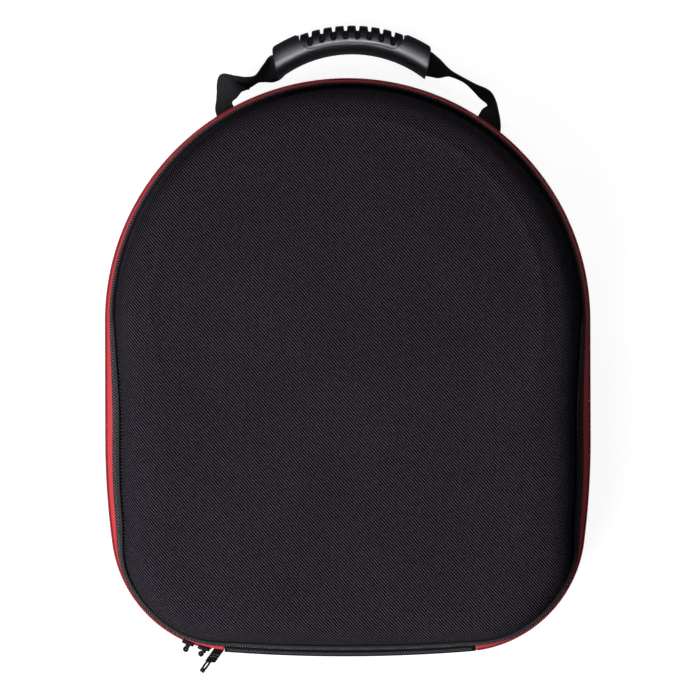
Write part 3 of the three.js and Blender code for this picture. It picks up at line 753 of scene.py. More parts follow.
def shell_profile(sizes, along):
    """Offset and height of a half shell's section at each station, from the face's edge to the inside.
    A parabola falls from the face to the shoulder, which is part of an ellipse's quarter; then come a
    drafted wall, a round channel at its foot, a bead, the flange that is sewn to the zip, and the inner
    wall and rounding."""
    inset, flange, shoulder, rise, apron = (value[:, None] for value in Outline.rim(along))
    rim = sizes.depth / 2 + HALF_BAND + GAP
    foot = inset + flange
    channel = toward_arch(along, CHANNEL_RADIUS, ARCH_CHANNEL)[:, None]
    wall_foot = foot + 2 * channel
    drop = apron * rise / shoulder / math.tan(SHOULDER_END) / 2
    bend = sizes.depth - drop - rise * math.sin(SHOULDER_END)
    wall_top = wall_foot + (bend - rim) * math.tan(SHELL_DRAFT)
    knee = wall_top + shoulder * (1 - math.cos(SHOULDER_END))
    apron_share = np.linspace(1, 0, APRON_RINGS)[:-1]
    turn = np.linspace(SHOULDER_END, 0, SHOULDER_RINGS)
    share = np.linspace(0, 1, WALL_RINGS)[1:]
    level = rim + BEAD_LEVEL
    channel_turn = np.radians(np.linspace(180, 360, CHANNEL_RINGS))[1:]
    bead_turn = np.radians(np.linspace(180, BEAD_END_TURN, BEAD_RINGS))[1:]
    edge_turn = np.radians(np.linspace(90, -90, EDGE_RINGS))
    inner_turn = np.radians(np.linspace(0, 90, INNER_RINGS))
    ones = np.ones_like(inset)
    offsets = [
        -(knee + apron * apron_share),
        -(wall_top + shoulder * (1 - np.cos(turn))),
        -(wall_top + (wall_foot - wall_top) * share),
        -(foot + channel) + channel * np.cos(channel_turn),
        -(foot - SHELL_BEAD) + SHELL_BEAD * np.cos(bead_turn),
        -(inset + FLANGE_EDGE) + FLANGE_EDGE * np.cos(edge_turn),
        -(wall_foot + SHELL_WALL),
        -(wall_top + SHELL_WALL + (shoulder - SHELL_WALL) * (1 - np.cos(inner_turn))),
    ]
    heights = [
        sizes.depth - drop * (1 - apron_share) ** 2,
        bend + rise * np.sin(turn),
        bend + (level - bend) * share,
        level + CHANNEL_RADIUS * ones * np.sin(channel_turn),
        ones * (level + SHELL_BEAD * np.sin(bead_turn)),
        ones * (rim + FLANGE_LEVEL / 2 + FLANGE_LEVEL / 2 * np.sin(edge_turn)),
        ones * rim,
        bend + (sizes.depth - SHELL_WALL - bend) * np.sin(inner_turn),
    ]
    return np.concatenate(offsets, axis=1), np.concatenate(heights, axis=1)


def face_relief(sizes, points, inward, along):
    """Lift of the front by the distance inward from the face's edge: a ridge along the edge of the
    arch, and slow waves of the moulded face."""
    arch = smooth((along - RIDGE_START) / RIDGE_EASE)
    ridge = sizes.ridge * bell(inward, RIDGE_WIDTH) * arch
    x, y = points[..., 0] / sizes.width, points[..., 1] / sizes.height
    first, second = (np.sin(across * x + up * y + start) for across, up, start in FACE_WAVES)
    return ridge + FACE_WAVE * first * second * smooth(inward / WAVE_START)


def shell_surface(outline, sizes, turned_over):
    """A half shell as rings round the outline: rings of the face shrink to its middle, and the cloth's
    flat coordinates run on outward from the face's edge by the length of the section."""
    distance = np.linspace(0.0, 2 * outline.half, SHELL_STATIONS, endpoint=False)
    points, normals, along = outline.at(distance)
    offset, z = shell_profile(sizes, along)
    body = place(points[:, None], normals[:, None], offset, z)
    edge = body[:, :1, :2]
    steps = np.hypot(np.diff(offset, axis=1), np.diff(z, axis=1))
    length = np.concatenate([np.zeros_like(offset[:, :1]), np.cumsum(steps, axis=1)], axis=1)
    body_flat = edge + normals[:, None] * length[..., None]
    share = 1 - (1 - np.linspace(0, 1, FACE_RINGS + 1)[1:-1]) ** FACE_CROWDING
    face_xy = edge * share[None, :, None]
    face = np.concatenate([face_xy, np.full_like(face_xy[..., :1], sizes.depth)], axis=-1)
    if not turned_over:
        outer = slice(0, APRON_RINGS)
        past_edge = offset[:, :1] - offset[:, outer]
        body[:, outer, 2] += face_relief(sizes, body[:, outer], past_edge, along[:, None])
        inward = np.linalg.norm(edge, axis=-1) * (1 - share)
        face[..., 2] += face_relief(sizes, face, inward, along[:, None])
    inner_share = np.array(INNER_FACE_SHARES)[None, :, None]
    inner_xy = body[:, -1:, :2] * inner_share
    inner_z = sizes.depth - SHELL_WALL
    inner = np.concatenate([inner_xy, np.full_like(inner_xy[..., :1], inner_z)], axis=-1)
    rings = np.concatenate([face, body, inner], axis=1)
    flat = np.concatenate([face_xy, body_flat, inner_xy], axis=1)
    poles = np.array([face[:, 0].mean(axis=0), [0.0, 0.0, inner_z]])
    if turned_over:
        rings[..., 2] = sizes.depth - rings[..., 2]
        poles[:, 2] = sizes.depth - poles[:, 2]
    surface = Surface()
    surface.add_lofts(rings.transpose(1, 0, 2), flat.transpose(1, 0, 2), poles)
    return surface


# Zip band, hinge and sewing

TAPE_STEP = 1.6 * MM
TAPE_ROWS = 18
TAPE_THICKNESS = 0.8 * MM
TAPE_SETBACK = 2.5 * MM
TAPE_FOLD = 1.9 * MM
TAPE_FOLD_RISE = 3.2 * MM
TAPE_TOP_RISE = 3.9 * MM
BACKING_HALF_HEIGHT = 2.4 * MM
BACKING_ROWS = 6
BACKING_SETBACK = 0.75 * MM
BACKING_THICKNESS = 0.8 * MM
HINGE_STATIONS = 150
HINGE_ROWS = 34
HINGE_THICKNESS = 1.4 * MM
TOOTH_SIDES = 6
TOOTH_HALF_WIDTH = 0.56 * MM
TOOTH_HALF_HEIGHT = 0.45 * MM
# A tooth bends from its side of the zip over the middle: outward offset and rise in millimetres
TOOTH_PATH = np.array(
    [
        # outward, rise
        (-1.9, 2.7),
        (-0.95, 2.6),
        (-0.5, 1.7),
        (-0.45, 0.6),
        (-0.7, -0.35),
        (-1.6, -0.6),
    ]
)
STITCH_SIDES = 6
STITCH_SHARES = np.array([0.0, 0.2, 0.5, 0.8, 1.0])
STITCH_RADII = np.array([0.24, 0.34, 0.38, 0.34, 0.24]) * MM
STITCH_LIFT = np.array([-0.15, 0.25, 0.4, 0.25, -0.15]) * MM
STITCH_SLANT = 0.4
HINGE_STITCH_INNER = 3.4 * MM
HINGE_STITCH_WIDTH = 2.2 * MM
HINGE_STITCH_MARGIN = 3 * MM
RIM_STITCH_CLEARANCE = 1.6 * SHELL_BEAD


def strip_rings(points, normals, offsets, heights, thickness):
    """Closed sections of a tape: its outer line and the same line set back by its thickness."""
    outer = place(points[:, None], normals[:, None], offsets, heights)
    inner = place(points[:, None], normals[:, None], offsets - thickness, heights)
    return np.concatenate([outer, inner[:, ::-1]], axis=1)


def strip_flat(distance, offsets, heights):
    """Flat coordinates of a tape: distance along it and length across it, on both faces."""
    steps = np.hypot(np.diff(offsets, axis=1), np.diff(heights, axis=1))
    across = np.concatenate([np.zeros_like(offsets[:, :1]), np.cumsum(steps, axis=1)], axis=1)
    along = np.broadcast_to(distance[:, None], across.shape)
    flat = np.stack([along, across], axis=-1)
    return np.concatenate([flat, flat[:, ::-1]], axis=1)


def tape_offset(rise, inset):
    """Zip tape's offset at a rise above the zip's middle: flat behind the teeth, folded out over them,
    then straight in to the rim."""
    fold = smooth((rise - TAPE_FOLD_RISE) / (TAPE_TOP_RISE - TAPE_FOLD_RISE))
    slope = np.clip((rise - TAPE_TOP_RISE) / (HALF_BAND - TAPE_TOP_RISE), 0.0, 1.0)
    top = inset + TAPE_UNDER_RIM - TAPE_FOLD
    return -(TAPE_SETBACK + (TAPE_FOLD - TAPE_SETBACK) * fold + top * slope)


def zip_distances(outline, step, left_end):
    """Distances along the zip from its right end to its left end."""
    first = outline.distance_at_x(HINGE_RIGHT_END)
    last = outline.distance_at_x(left_end)
    return np.linspace(first, last, int((last - first) / step))


def tape_surface(outline, side):
    """One red zip tape as a strip along the outline, above (side 1) or below (side -1) the teeth."""
    distance = zip_distances(outline, TAPE_STEP, HINGE_LEFT_END)
    points, normals, along = outline.at(distance)
    inset = Outline.rim(along)[0][:, None]
    rise = np.linspace(GAP, HALF_BAND, TAPE_ROWS)[None, :]
    offsets = tape_offset(rise, inset)
    heights = outline.middle + side * np.broadcast_to(rise, offsets.shape)
    surface = Surface()
    rings = strip_rings(points, normals, offsets, heights, TAPE_THICKNESS)
    surface.add_lofts(rings, strip_flat(distance, offsets, heights))
    return surface


def teeth_surface(outline, sizes):
    """The zip's coil: bent bars from both sides that meet alternately over the middle, and the backing
    that they are sewn to."""
    surface = Surface()
    turn = np.linspace(0, 2 * math.pi, TOOTH_SIDES, endpoint=False)
    path = TOOTH_PATH * MM
    way = np.gradient(path, axis=0)
    way /= np.linalg.norm(way, axis=1)[:, None]
    upward = np.stack([way[:, 1], -way[:, 0]], axis=-1)
    aside = TOOTH_HALF_WIDTH * np.cos(turn)
    lift = TOOTH_HALF_HEIGHT * np.sin(turn)
    sections = path[:, None] + upward[:, None] * lift[None, :, None]
    for side in (1, -1):
        distance = zip_distances(outline, sizes.tooth_pitch, CHAIN_LEFT_END)
        distance = distance[1:-1] + side * sizes.tooth_pitch / 4
        points, normals, _ = outline.at(distance)
        tangents = np.stack([-normals[:, 1], normals[:, 0]], axis=-1)
        flat = (
            points[:, None, None]
            + normals[:, None, None] * sections[None, ..., :1]
            + tangents[:, None, None] * aside[None, None, :, None]
        )
        z = np.broadcast_to(outline.middle + side * sections[None, ..., 1], flat.shape[:-1])
        surface.add_lofts(np.concatenate([flat, z[..., None]], axis=-1))
    distance = zip_distances(outline, TAPE_STEP, CHAIN_LEFT_END)
    points, normals, _ = outline.at(distance)
    rise = np.linspace(-BACKING_HALF_HEIGHT, BACKING_HALF_HEIGHT, BACKING_ROWS)
    heights = np.broadcast_to(outline.middle + rise, (len(distance), BACKING_ROWS))
    offsets = np.full(heights.shape, -BACKING_SETBACK)
    surface.add_lofts(strip_rings(points, normals, offsets, heights, BACKING_THICKNESS))
    return surface


def hinge_ends(outline):
    """Distances of the hinge tape's two ends, the left one below zero."""
    left = outline.distance_at_x(HINGE_LEFT_END) - 2 * outline.half + GAP
    return left, outline.distance_at_x(HINGE_RIGHT_END) - GAP


def hinge_surface(outline):
    """The hinge tape, a strip whose section is a parabola that stands out at the middle, and its flat
    width and length."""
    left, right = hinge_ends(outline)
    distance = np.linspace(left, right, HINGE_STATIONS)
    points, normals, along = outline.at(distance)
    top = (Outline.rim(along)[0] + TAPE_UNDER_RIM)[:, None]
    part = np.linspace(-1, 1, HINGE_ROWS)[None, :]
    offsets = -top * part**2
    heights = np.broadcast_to(outline.middle + part * HALF_BAND, offsets.shape)
    surface = Surface()
    rings = strip_rings(points, normals, offsets, heights, HINGE_THICKNESS)
    flat = strip_flat(distance, offsets, heights)
    surface.add_lofts(rings, flat)
    return surface, (float(flat[:, HINGE_ROWS - 1, 1].mean()), right - left)


def stitch_bodies(outline, distance, inner, width, level, side):
    """Slanted stitches: arched threads from an inner offset outward by a width, whose feet are at a
    level above the zip's middle."""
    share = STITCH_SHARES[None, :]
    offset = -inner[:, None] + width[:, None] * share
    slid = distance[:, None] + STITCH_SLANT * width[:, None] * (2 * share - 1)
    points, normals, _ = outline.at(slid)
    tangents = np.stack([-normals[..., 1], normals[..., 0]], axis=-1)
    turn = np.linspace(0, 2 * math.pi, STITCH_SIDES, endpoint=False)
    around = STITCH_RADII[:, None] * np.cos(turn)
    upward = STITCH_RADII[:, None] * np.sin(turn)
    middle = points + normals * offset[..., None]
    flat = middle[:, :, None] + tangents[:, :, None] * around[None, ..., None]
    height = level[:, :, None] + STITCH_LIFT[None, :, None] + upward[None]
    z = np.broadcast_to(outline.middle + side * height, flat.shape[:-1])
    return np.concatenate([flat, z[..., None]], axis=-1)


def rim_stitch_surface(outline, sizes, side):
    """The row of slanted stitches that runs round the flange of one half."""
    count = int(2 * outline.half / sizes.stitch_pitch)
    distance = np.linspace(0, 2 * outline.half, count, endpoint=False)
    inset, flange, _, _, _ = Outline.rim(outline.at(distance)[2])
    inner = inset + flange - RIM_STITCH_CLEARANCE
    width = flange - RIM_STITCH_CLEARANCE - FLANGE_EDGE / 2
    level = np.full((count, len(STITCH_SHARES)), HALF_BAND + GAP + FLANGE_LEVEL)
    surface = Surface()
    surface.add_lofts(stitch_bodies(outline, distance, inner, width, level, side))
    return surface


def bead_surface(outline, side):
    """The moulded lip between flange and channel: a round tube along the rim of one half."""
    distance = np.linspace(0, 2 * outline.half, SHELL_STATIONS, endpoint=False)
    points, normals, along = outline.at(distance)
    inset, flange, _, _, _ = Outline.rim(along)
    turn = np.linspace(0, 2 * math.pi, BEAD_SIDES, endpoint=False)
    radius = toward_arch(along, LIP_RADIUS, ARCH_LIP)[:, None]
    offset = -(inset + flange - SHELL_BEAD)[:, None] + radius * np.cos(turn)[None, :]
    rise = HALF_BAND + GAP + BEAD_LEVEL + radius * np.sin(turn)[None, :]
    height = np.broadcast_to(outline.middle + side * rise, offset.shape)
    surface = Surface()
    surface.add_hoop(place(points[:, None], normals[:, None], offset, height))
    return surface


def hinge_stitch_surface(outline, sizes):
    """A second row of slanted stitches on the hinge tape, above and below its middle."""
    left, right = hinge_ends(outline)
    first, last = left + HINGE_STITCH_MARGIN, right - HINGE_STITCH_MARGIN
    distance = np.arange(first, last, sizes.stitch_pitch)
    top = Outline.rim(outline.at(distance)[2])[0] + TAPE_UNDER_RIM
    inner = np.full_like(top, HINGE_STITCH_INNER)
    width = np.full_like(top, HINGE_STITCH_WIDTH)
    offset = inner[:, None] - width[:, None] * STITCH_SHARES[None, :]
    level = HALF_BAND * np.sqrt(offset / top[:, None])
    surface = Surface()
    for side in (1, -1):
        surface.add_lofts(stitch_bodies(outline, distance, inner, width, level, side))
    return surface


# Sliders, pulls and lock at the zip's end, each in a local frame on the zip

AXIS_X, AXIS_Y, AXIS_Z = np.eye(3)
# Sliders: number, x on the outline, lean of the pull in degrees
SLIDERS = ((1, -112.2 * MM, -7), (2, -101.2 * MM, -37))
SLIDER_HALF_LENGTH = 4.5 * MM
PLATE_LEVEL = 0.72 * MM
PLATE_HALF_THICKNESS = 0.42 * MM
PLATE_HALF_WIDTH = 3.7 * MM
PLATE_WIDENING = 0.9 * MM
PLATE_EASE = 1.6
SKIRT_HALF_LENGTH = 0.94 * SLIDER_HALF_LENGTH
SKIRT_LEVEL = -0.7 * MM
SKIRT_UP = 4 * MM
SKIRT_HALVES = (0.55 * MM, 1.35 * MM)
PIN_ALONG = -0.5 * MM
PIN_HEIGHT = 2.5 * MM
PIN_HALF_LENGTH = 2 * MM
PIN_HALVES = (0.45 * MM, 0.45 * MM)
EAR_FOOT = 0.4 * MM
EAR_HEAD = PIN_HEIGHT + 1 * MM
EAR_UP = 1.55 * MM
EAR_HALVES = (1.6 * MM, 0.45 * MM)
RAMP_START = -4.3 * MM
RAMP_END = -2.5 * MM
RAMP_LEVEL = 1 * MM
RAMP_HALVES = (1.3 * MM, 0.5 * MM)
EYE_RADII = (0.95 * MM, 0.95 * MM)
EYE_HALVES = (0.2 * MM, 0.75 * MM)
RING_REACH = 2.45 * MM
RING_RADII = (1.15 * MM, 1.03 * MM)
RING_HALVES = (0.92 * MM, 0.9 * MM)
NECK_START = 0.85 * MM
NECK_END = 1.75 * MM
NECK_HALVES = (1.85 * MM, 0.72 * MM)
HOOP_STEPS = 40
HOOP_SIDES = 14
HOOP_POWER = 0.55
LOCK_X = -91.5 * MM
LOCK_LEAN = math.radians(27)
LOCK_ROOT = -2.2 * MM
LOCK_REACH = 8.6 * MM
LOCK_HALF_WIDTH = 3.6 * MM
LOCK_HALF_THICKNESS = 1.6 * MM
FOLD_PINCH = 0.22
FOLD_LEVEL = 3.4 * MM
FOLD_WIDTH = 1 * MM
LOCK_STITCH_LEVELS = (2.6 * MM, 4.2 * MM)
LOCK_STITCH_PLACES = np.linspace(-2.4, 2.4, 4) * MM
LOCK_STITCH_HALF_LENGTH = 0.55 * MM
LOCK_STITCH_HALVES = (0.25 * MM, 0.25 * MM)
LOCK_STITCH_FACE = 0.93 * LOCK_HALF_THICKNESS
LOCK_ASIDE = 0.8 * MM
LOCK_BARS = ((6.2 * MM, 10.4 * MM), (15.5 * MM, 18.7 * MM))
LOCK_BAR_HALVES = (1.75 * MM, 0.68 * MM)
LOCK_LOOP_MIDDLE = 12.95 * MM
LOCK_LOOP_HALF_WIDTH = 1.1 * MM
LOCK_LOOP_HALF_LENGTH = 3.4 * MM
LOCK_LOOP_STEPS = 64
LOCK_LOOP_POWERS = (0.7, 0.75)
LOCK_RAIL_HALVES = (0.74 * MM, 0.68 * MM)


class LocalFrame:
    """A frame on the zip: local X along the zip, Y outward and Z up."""

    def __init__(self, outline, x):
        point, normal, _ = outline.at(np.array([outline.distance_at_x(x)]))
        self.origin = np.array([*point[0], outline.middle])
        nx, ny = normal[0]
        self.axes = np.array([[ny, -nx, 0.0], [nx, ny, 0.0], [0.0, 0.0, 1.0]])

    def world(self, points):
        """Local points in the part's frame: the origin plus each coordinate times its axis."""
        return self.origin + np.asarray(points) @ self.axes


def add_bar(surface, local, ends, axes, halves, steps=(6, 6), **shape):
    """Adds a rounded bar between two local points to a surface."""
    bar = rounded_bar(straight_path(*ends, *steps), *axes, *halves, **shape)
    surface.add_lofts(local.world(bar))


def slider_surface(local):
    """A slider: a plate that narrows like a shield, two skirts over the teeth, two ears, a pin and a
    ramp on the plate."""
    surface = Surface()
    ends = ((-SLIDER_HALF_LENGTH, PLATE_LEVEL, 0), (SLIDER_HALF_LENGTH, PLATE_LEVEL, 0))
    path = straight_path(*ends, near_ends=8, middle=12)
    share = (path[:, 0] + SLIDER_HALF_LENGTH) / (2 * SLIDER_HALF_LENGTH)
    halves = (PLATE_HALF_WIDTH + PLATE_WIDENING * smooth(share * PLATE_EASE), PLATE_HALF_THICKNESS)
    plate = rounded_bar(path, AXIS_Z, AXIS_Y, *halves, power=0.5, sides=24, rounding=1.6)
    surface.add_lofts(local.world(plate))
    for side in (1, -1):
        up = side * SKIRT_UP
        ends = ((-SKIRT_HALF_LENGTH, SKIRT_LEVEL, up), (SKIRT_HALF_LENGTH, SKIRT_LEVEL, up))
        add_bar(surface, local, ends, (AXIS_Z, AXIS_Y), SKIRT_HALVES, power=0.5, sides=16, rounding=1.2)
        up = side * EAR_UP
        ends = ((PIN_ALONG, EAR_FOOT, up), (PIN_ALONG, EAR_HEAD, up))
        add_bar(surface, local, ends, (AXIS_X, AXIS_Z), EAR_HALVES, power=0.6, sides=16, rounding=0.9)
    ends = ((PIN_ALONG, PIN_HEIGHT, -PIN_HALF_LENGTH), (PIN_ALONG, PIN_HEIGHT, PIN_HALF_LENGTH))
    add_bar(surface, local, ends, (AXIS_X, AXIS_Y), PIN_HALVES, power=1.0, sides=14, rounding=0.3)
    ends = ((RAMP_START, RAMP_LEVEL, 0), (RAMP_END, RAMP_LEVEL, 0))
    add_bar(surface, local, ends, (AXIS_Z, AXIS_Y), RAMP_HALVES, power=0.8, sides=16, rounding=0.9)
    return surface


def hoop_rings(path, outward, halves):
    """Rings of a hoop along a closed path in the local XY plane, with a rounded oblong section."""
    half_across, half_through = (np.full(len(path), half) for half in halves)
    across, through = section(half_across, half_through, HOOP_POWER, HOOP_SIDES)
    return path[:, None] + outward[:, None] * across[..., None] + AXIS_Z * through[..., None]


def oval_rings(middle, radii, halves):
    """Rings of a hoop round an oval, whose section faces its middle."""
    turn = np.linspace(0, 2 * math.pi, HOOP_STEPS, endpoint=False)
    outward = np.stack([np.cos(turn), np.sin(turn), np.zeros(HOOP_STEPS)], axis=-1)
    return hoop_rings(middle + outward * np.array([*radii, 0.0]), outward, halves)


def turned(points, pivot, angle):
    """Local points turned about the local Z axis through a pivot."""
    cosine, sine = math.cos(angle), math.sin(angle)
    turn = np.array([[cosine, sine, 0.0], [-sine, cosine, 0.0], [0.0, 0.0, 1.0]])
    return (np.asarray(points) - pivot) @ turn + pivot


def pull_surface(local, lean):
    """A pull: a small eye round the slider's pin, a larger ring at its free end and a neck between."""
    surface = Surface()
    pin = np.array([PIN_ALONG, PIN_HEIGHT, 0.0])
    angle = math.radians(lean)
    eye = oval_rings(pin, EYE_RADII, EYE_HALVES)
    ring = oval_rings(pin + AXIS_Y * RING_REACH, RING_RADII, RING_HALVES)
    for rings in (eye, ring):
        surface.add_hoop(local.world(turned(rings, pin, angle)))
    path = straight_path(pin + AXIS_Y * NECK_START, pin + AXIS_Y * NECK_END)
    neck = rounded_bar(path, AXIS_X, AXIS_Z, *NECK_HALVES, power=0.5, sides=16, rounding=0.3)
    surface.add_lofts(local.world(turned(neck, pin, angle)))
    return surface


def lock_tab_surface(local):
    """The folded tab: a flat bar that leans over, with a dimple where the fold is stitched down."""
    slope = math.tan(LOCK_LEAN)
    start = np.array([LOCK_ROOT * slope, LOCK_ROOT, 0.0])
    end = np.array([LOCK_REACH * slope, LOCK_REACH, 0.0])
    path = straight_path(start, end, near_ends=8, middle=16)
    height = path[:, 1]
    pinch = 1 - FOLD_PINCH * bell(height - FOLD_LEVEL, FOLD_WIDTH)
    halves = (LOCK_HALF_WIDTH, LOCK_HALF_THICKNESS * pinch)
    rings = rounded_bar(path, AXIS_X, AXIS_Z, *halves, power=0.25, sides=40, rounding=0.8)
    surface = Surface()
    along = np.broadcast_to(height[:, None], rings.shape[:2])
    flat = np.stack([rings[..., 0], along], axis=-1)
    surface.add_lofts(local.world(rings), flat)
    return surface


def lock_stitch_surface(local):
    """Two rows of short stitches across the tab, on both of its faces."""
    slope = math.tan(LOCK_LEAN)
    shape = {"steps": (3, 3), "power": 1.0, "sides": 8, "rounding": 0.4}
    half = AXIS_X * LOCK_STITCH_HALF_LENGTH
    surface = Surface()
    for height in LOCK_STITCH_LEVELS:
        for side in (1, -1):
            for x in LOCK_STITCH_PLACES:
                middle = np.array([x + height * slope, height, side * LOCK_STITCH_FACE])
                ends = (middle - half, middle + half)
                add_bar(surface, local, ends, (AXIS_Y, AXIS_Z), LOCK_STITCH_HALVES, **shape)
    return surface


def lock_plate_surface(local):
    """The slotted plate in the tab: a square-ended root and tip, and a long loop between them."""
    surface = Surface()
    pivot = np.zeros(3)
    for first, last in LOCK_BARS:
        path = straight_path((LOCK_ASIDE, first, 0), (LOCK_ASIDE, last, 0), middle=8)
        bar = rounded_bar(path, AXIS_X, AXIS_Z, *LOCK_BAR_HALVES, power=0.35, sides=24, rounding=0.4)
        surface.add_lofts(local.world(turned(bar, pivot, -LOCK_LEAN)))
    turn = np.linspace(0, 2 * math.pi, LOCK_LOOP_STEPS, endpoint=False)
    none = np.zeros_like(turn)
    power_x, power_y = LOCK_LOOP_POWERS
    x = LOCK_ASIDE + LOCK_LOOP_HALF_WIDTH * signed_power(np.cos(turn), power_x)
    y = LOCK_LOOP_MIDDLE + LOCK_LOOP_HALF_LENGTH * signed_power(np.sin(turn), power_y)
    path = np.stack([x, y, none], axis=-1)
    way = np.roll(path, -1, axis=0) - np.roll(path, 1, axis=0)
    way /= np.linalg.norm(way, axis=1)[:, None]
    outward = np.stack([way[:, 1], -way[:, 0], none], axis=-1)
    rings = hoop_rings(path, outward, LOCK_RAIL_HALVES)
    surface.add_hoop(local.world(turned(rings, pivot, -LOCK_LEAN)))
    return surface


# Handle: strap, grip and pad

# Grip, pad and mouth: turns in degrees from the top of the arch, positive to the right
GRIP_X = 3.3 * MM
GRIP_Y = 140 * MM
GRIP_Z = 15 * MM
GRIP_RADIUS = 95.5 * MM
GRIP_HALF_THICKNESS = 10 * MM
GRIP_HALF_DEPTH = 15 * MM
GRIP_POWER = 2 / 2.6
GRIP_END_TURN = 35.5
GRIP_END_SLANT = 0.0076 / MM
COLLAR_TURN = 24.4
COLLAR_STEP = 23.4
COLLAR_SWELL = 1 * MM
RIB_PITCH = 5.1
PAD_LEVEL = -3.9 * MM
PAD_END_TURN = 22.6
PAD_CORNER_TURN = 17.5
PAD_CORNER_RISE = 9 * MM
MOUTH_HALF_RADIAL = 8 * MM
MOUTH_HALF_DEPTH = 12 * MM
MOUTH_POWER = 2 / 3
MOUTH_INNER_TURN = 29.5
MOUTH_INNER_SCALE = 0.86

# Middle line of the webbing in millimetres and the direction to its lower edge, at each bend,
# from inside the back shell to the mouth of the grip.
LEFT_STRAP = np.array(
    [
        # x, y, z, then the direction's x, y, z
        (-80.4, 172.6, 37.5, 0.66, 0.38, 0.65),
        (-87.6, 185.0, 37.0, 0.58, 0.16, 0.80),
        (-85.3, 190.5, 38.2, 0.72, 0.02, 0.69),
        (-83.6, 195.0, 39.0, 0.83, -0.06, 0.55),
        (-80.7, 201.7, 39.0, 0.88, -0.465, -0.08),
        (-74.3, 203.0, 34.0, 0.43, -0.28, -0.86),
        (-69.0, 204.4, 28.6, 0.27, -0.10, -0.96),
        (-64.8, 206.4, 23.0, 0.05, -0.08, -0.99),
        (-59.2, 211.3, 17.2, 0.03, -0.46, -0.89),
        (-53.0, 215.0, 15.0, 0.12, -0.78, -0.61),
    ]
)
RIGHT_STRAP = np.array(
    [
        # x, y, z, then the direction's x, y, z
        (93.6, 161.8, 40.5, -0.76, 0.54, -0.36),
        (100.2, 171.2, 40.5, -0.70, 0.54, -0.46),
        (101.9, 178.6, 40.5, -0.53, 0.40, -0.75),
        (103.2, 184.5, 37.5, -0.25, 0.20, -0.95),
        (98.2, 193.7, 31.5, -0.30, -0.06, -0.95),
        (87.6, 202.4, 26.5, -0.22, 0.16, -0.96),
        (74.7, 209.9, 21.2, -0.02, 0.00, -1.00),
        (65.2, 214.8, 17.2, 0.00, -0.55, -0.83),
        (58.4, 218.1, 15.0, -0.05, -0.71, -0.70),
    ]
)
STRAP_RADIUS = 88.6 * MM
STRAP_TURNS = (-28, -20, -10, 0, 10, 20, 28)
STRAP_PER_ROW = 12
STRAP_ACROSS = 25
STRAP_SPREAD = 0.495
STRAP_EDGE_POWER = 12
LEAST_GAP = 1e-4

# Steps and grooves of the grip and its pad
GRIP_LOWER = 56
GRIP_UPPER = 30
GRIP_STEPS = 220
PAD_STEPS = 380
PAD_UPPER = 72
PAD_LOWER = 12
SEAM_ROUNDING = 0.8 * MM
SEAM_DEPTH = 1.3 * MM
GROOVE_HALF = 1.25 * MM
GROOVE_BULB = 0.45 * MM
GROOVE_WALL = 0.7 * MM
GROOVE_FOOT = 0.6 * MM
GROOVE_DEPTH = 3.2 * MM
GROOVE_SIDE_DEPTH = 3.2 * MM
END_GROOVE_TURN = 20
END_GROOVE_SHARE = 0.35
GROOVE_BULB_WIDTH = 2.5 * MM
RIB_ROUND = 0.25
RIB_ROUND_WIDTH = 2.2 * MM
RIB_TOP_SHARE = 0.4
RIB_TOP_SINK = 0.3 * MM
PAD_UNDER = 0.25 * MM
SEAT_MARGIN_TURN = 0.2
SEAT_WIDTH_SHARE = 0.97
CAP_ANGLE = math.radians(60)
# Rings set close where the grip's form changes, in degrees: before its ends, beside the seat's end
# and beside the edges of the collar's step
END_TURNS = (0.0, 0.1, 0.25, 0.45, 0.7, 1.0)
SEAT_EDGE_TURN = 0.02
STEP_EDGE_TURN = 0.3
END_ROUND_TURN = 1.0
END_ROUNDING = 2.5 * MM
# Rings of a mouth from its floor outward: share of its depth, scale
MOUTH_RINGS = ((1.0, MOUTH_INNER_SCALE), (0.5, 0.93), (0.12, 0.985), (0.0, 1.02))


def arch_points(turn, radial, aside):
    """Points of the grip: a circle's arc whose ends slant, with a radial and a sideways offset."""
    slanted = np.radians(turn * (1 - GRIP_END_SLANT * radial))
    radius = GRIP_RADIUS + radial
    x = GRIP_X + radius * np.sin(slanted)
    y = GRIP_Y + radius * np.cos(slanted)
    return np.stack(np.broadcast_arrays(x, y, GRIP_Z + aside), axis=-1)


def through_points(rows, per_row):
    """A smooth curve through rows of numbers: a centripetal Catmull-Rom spline, whose slopes
    come from the square roots of the distances between neighbours."""
    first, last = 2 * rows[0] - rows[1], 2 * rows[-1] - rows[-2]
    padded = np.concatenate([first[None], rows, last[None]])
    gaps = np.sqrt(np.linalg.norm(np.diff(padded, axis=0), axis=1))
    gaps = np.where(gaps < LEAST_GAP, 1.0, gaps)[:, None]
    p0, p1, p2, p3 = padded[:-3], padded[1:-2], padded[2:-1], padded[3:]
    d0, d1, d2 = gaps[:-2], gaps[1:-1], gaps[2:]
    slope_in = ((p1 - p0) / d0 - (p2 - p0) / (d0 + d1) + (p2 - p1) / d1) * d1
    slope_out = ((p2 - p1) / d1 - (p3 - p1) / (d1 + d2) + (p3 - p2) / d2) * d1
    t = np.linspace(0, 1, per_row, endpoint=False)[None, :, None]
    cubic = 2 * p1 - 2 * p2 + slope_in + slope_out
    square = -3 * p1 + 3 * p2 - 2 * slope_in - slope_out
    terms = (p1[:, None], slope_in[:, None] * t, square[:, None] * t**2, cubic[:, None] * t**3)
    curve = sum(terms).reshape(-1, rows.shape[1])
    return np.concatenate([curve, rows[-1:]])


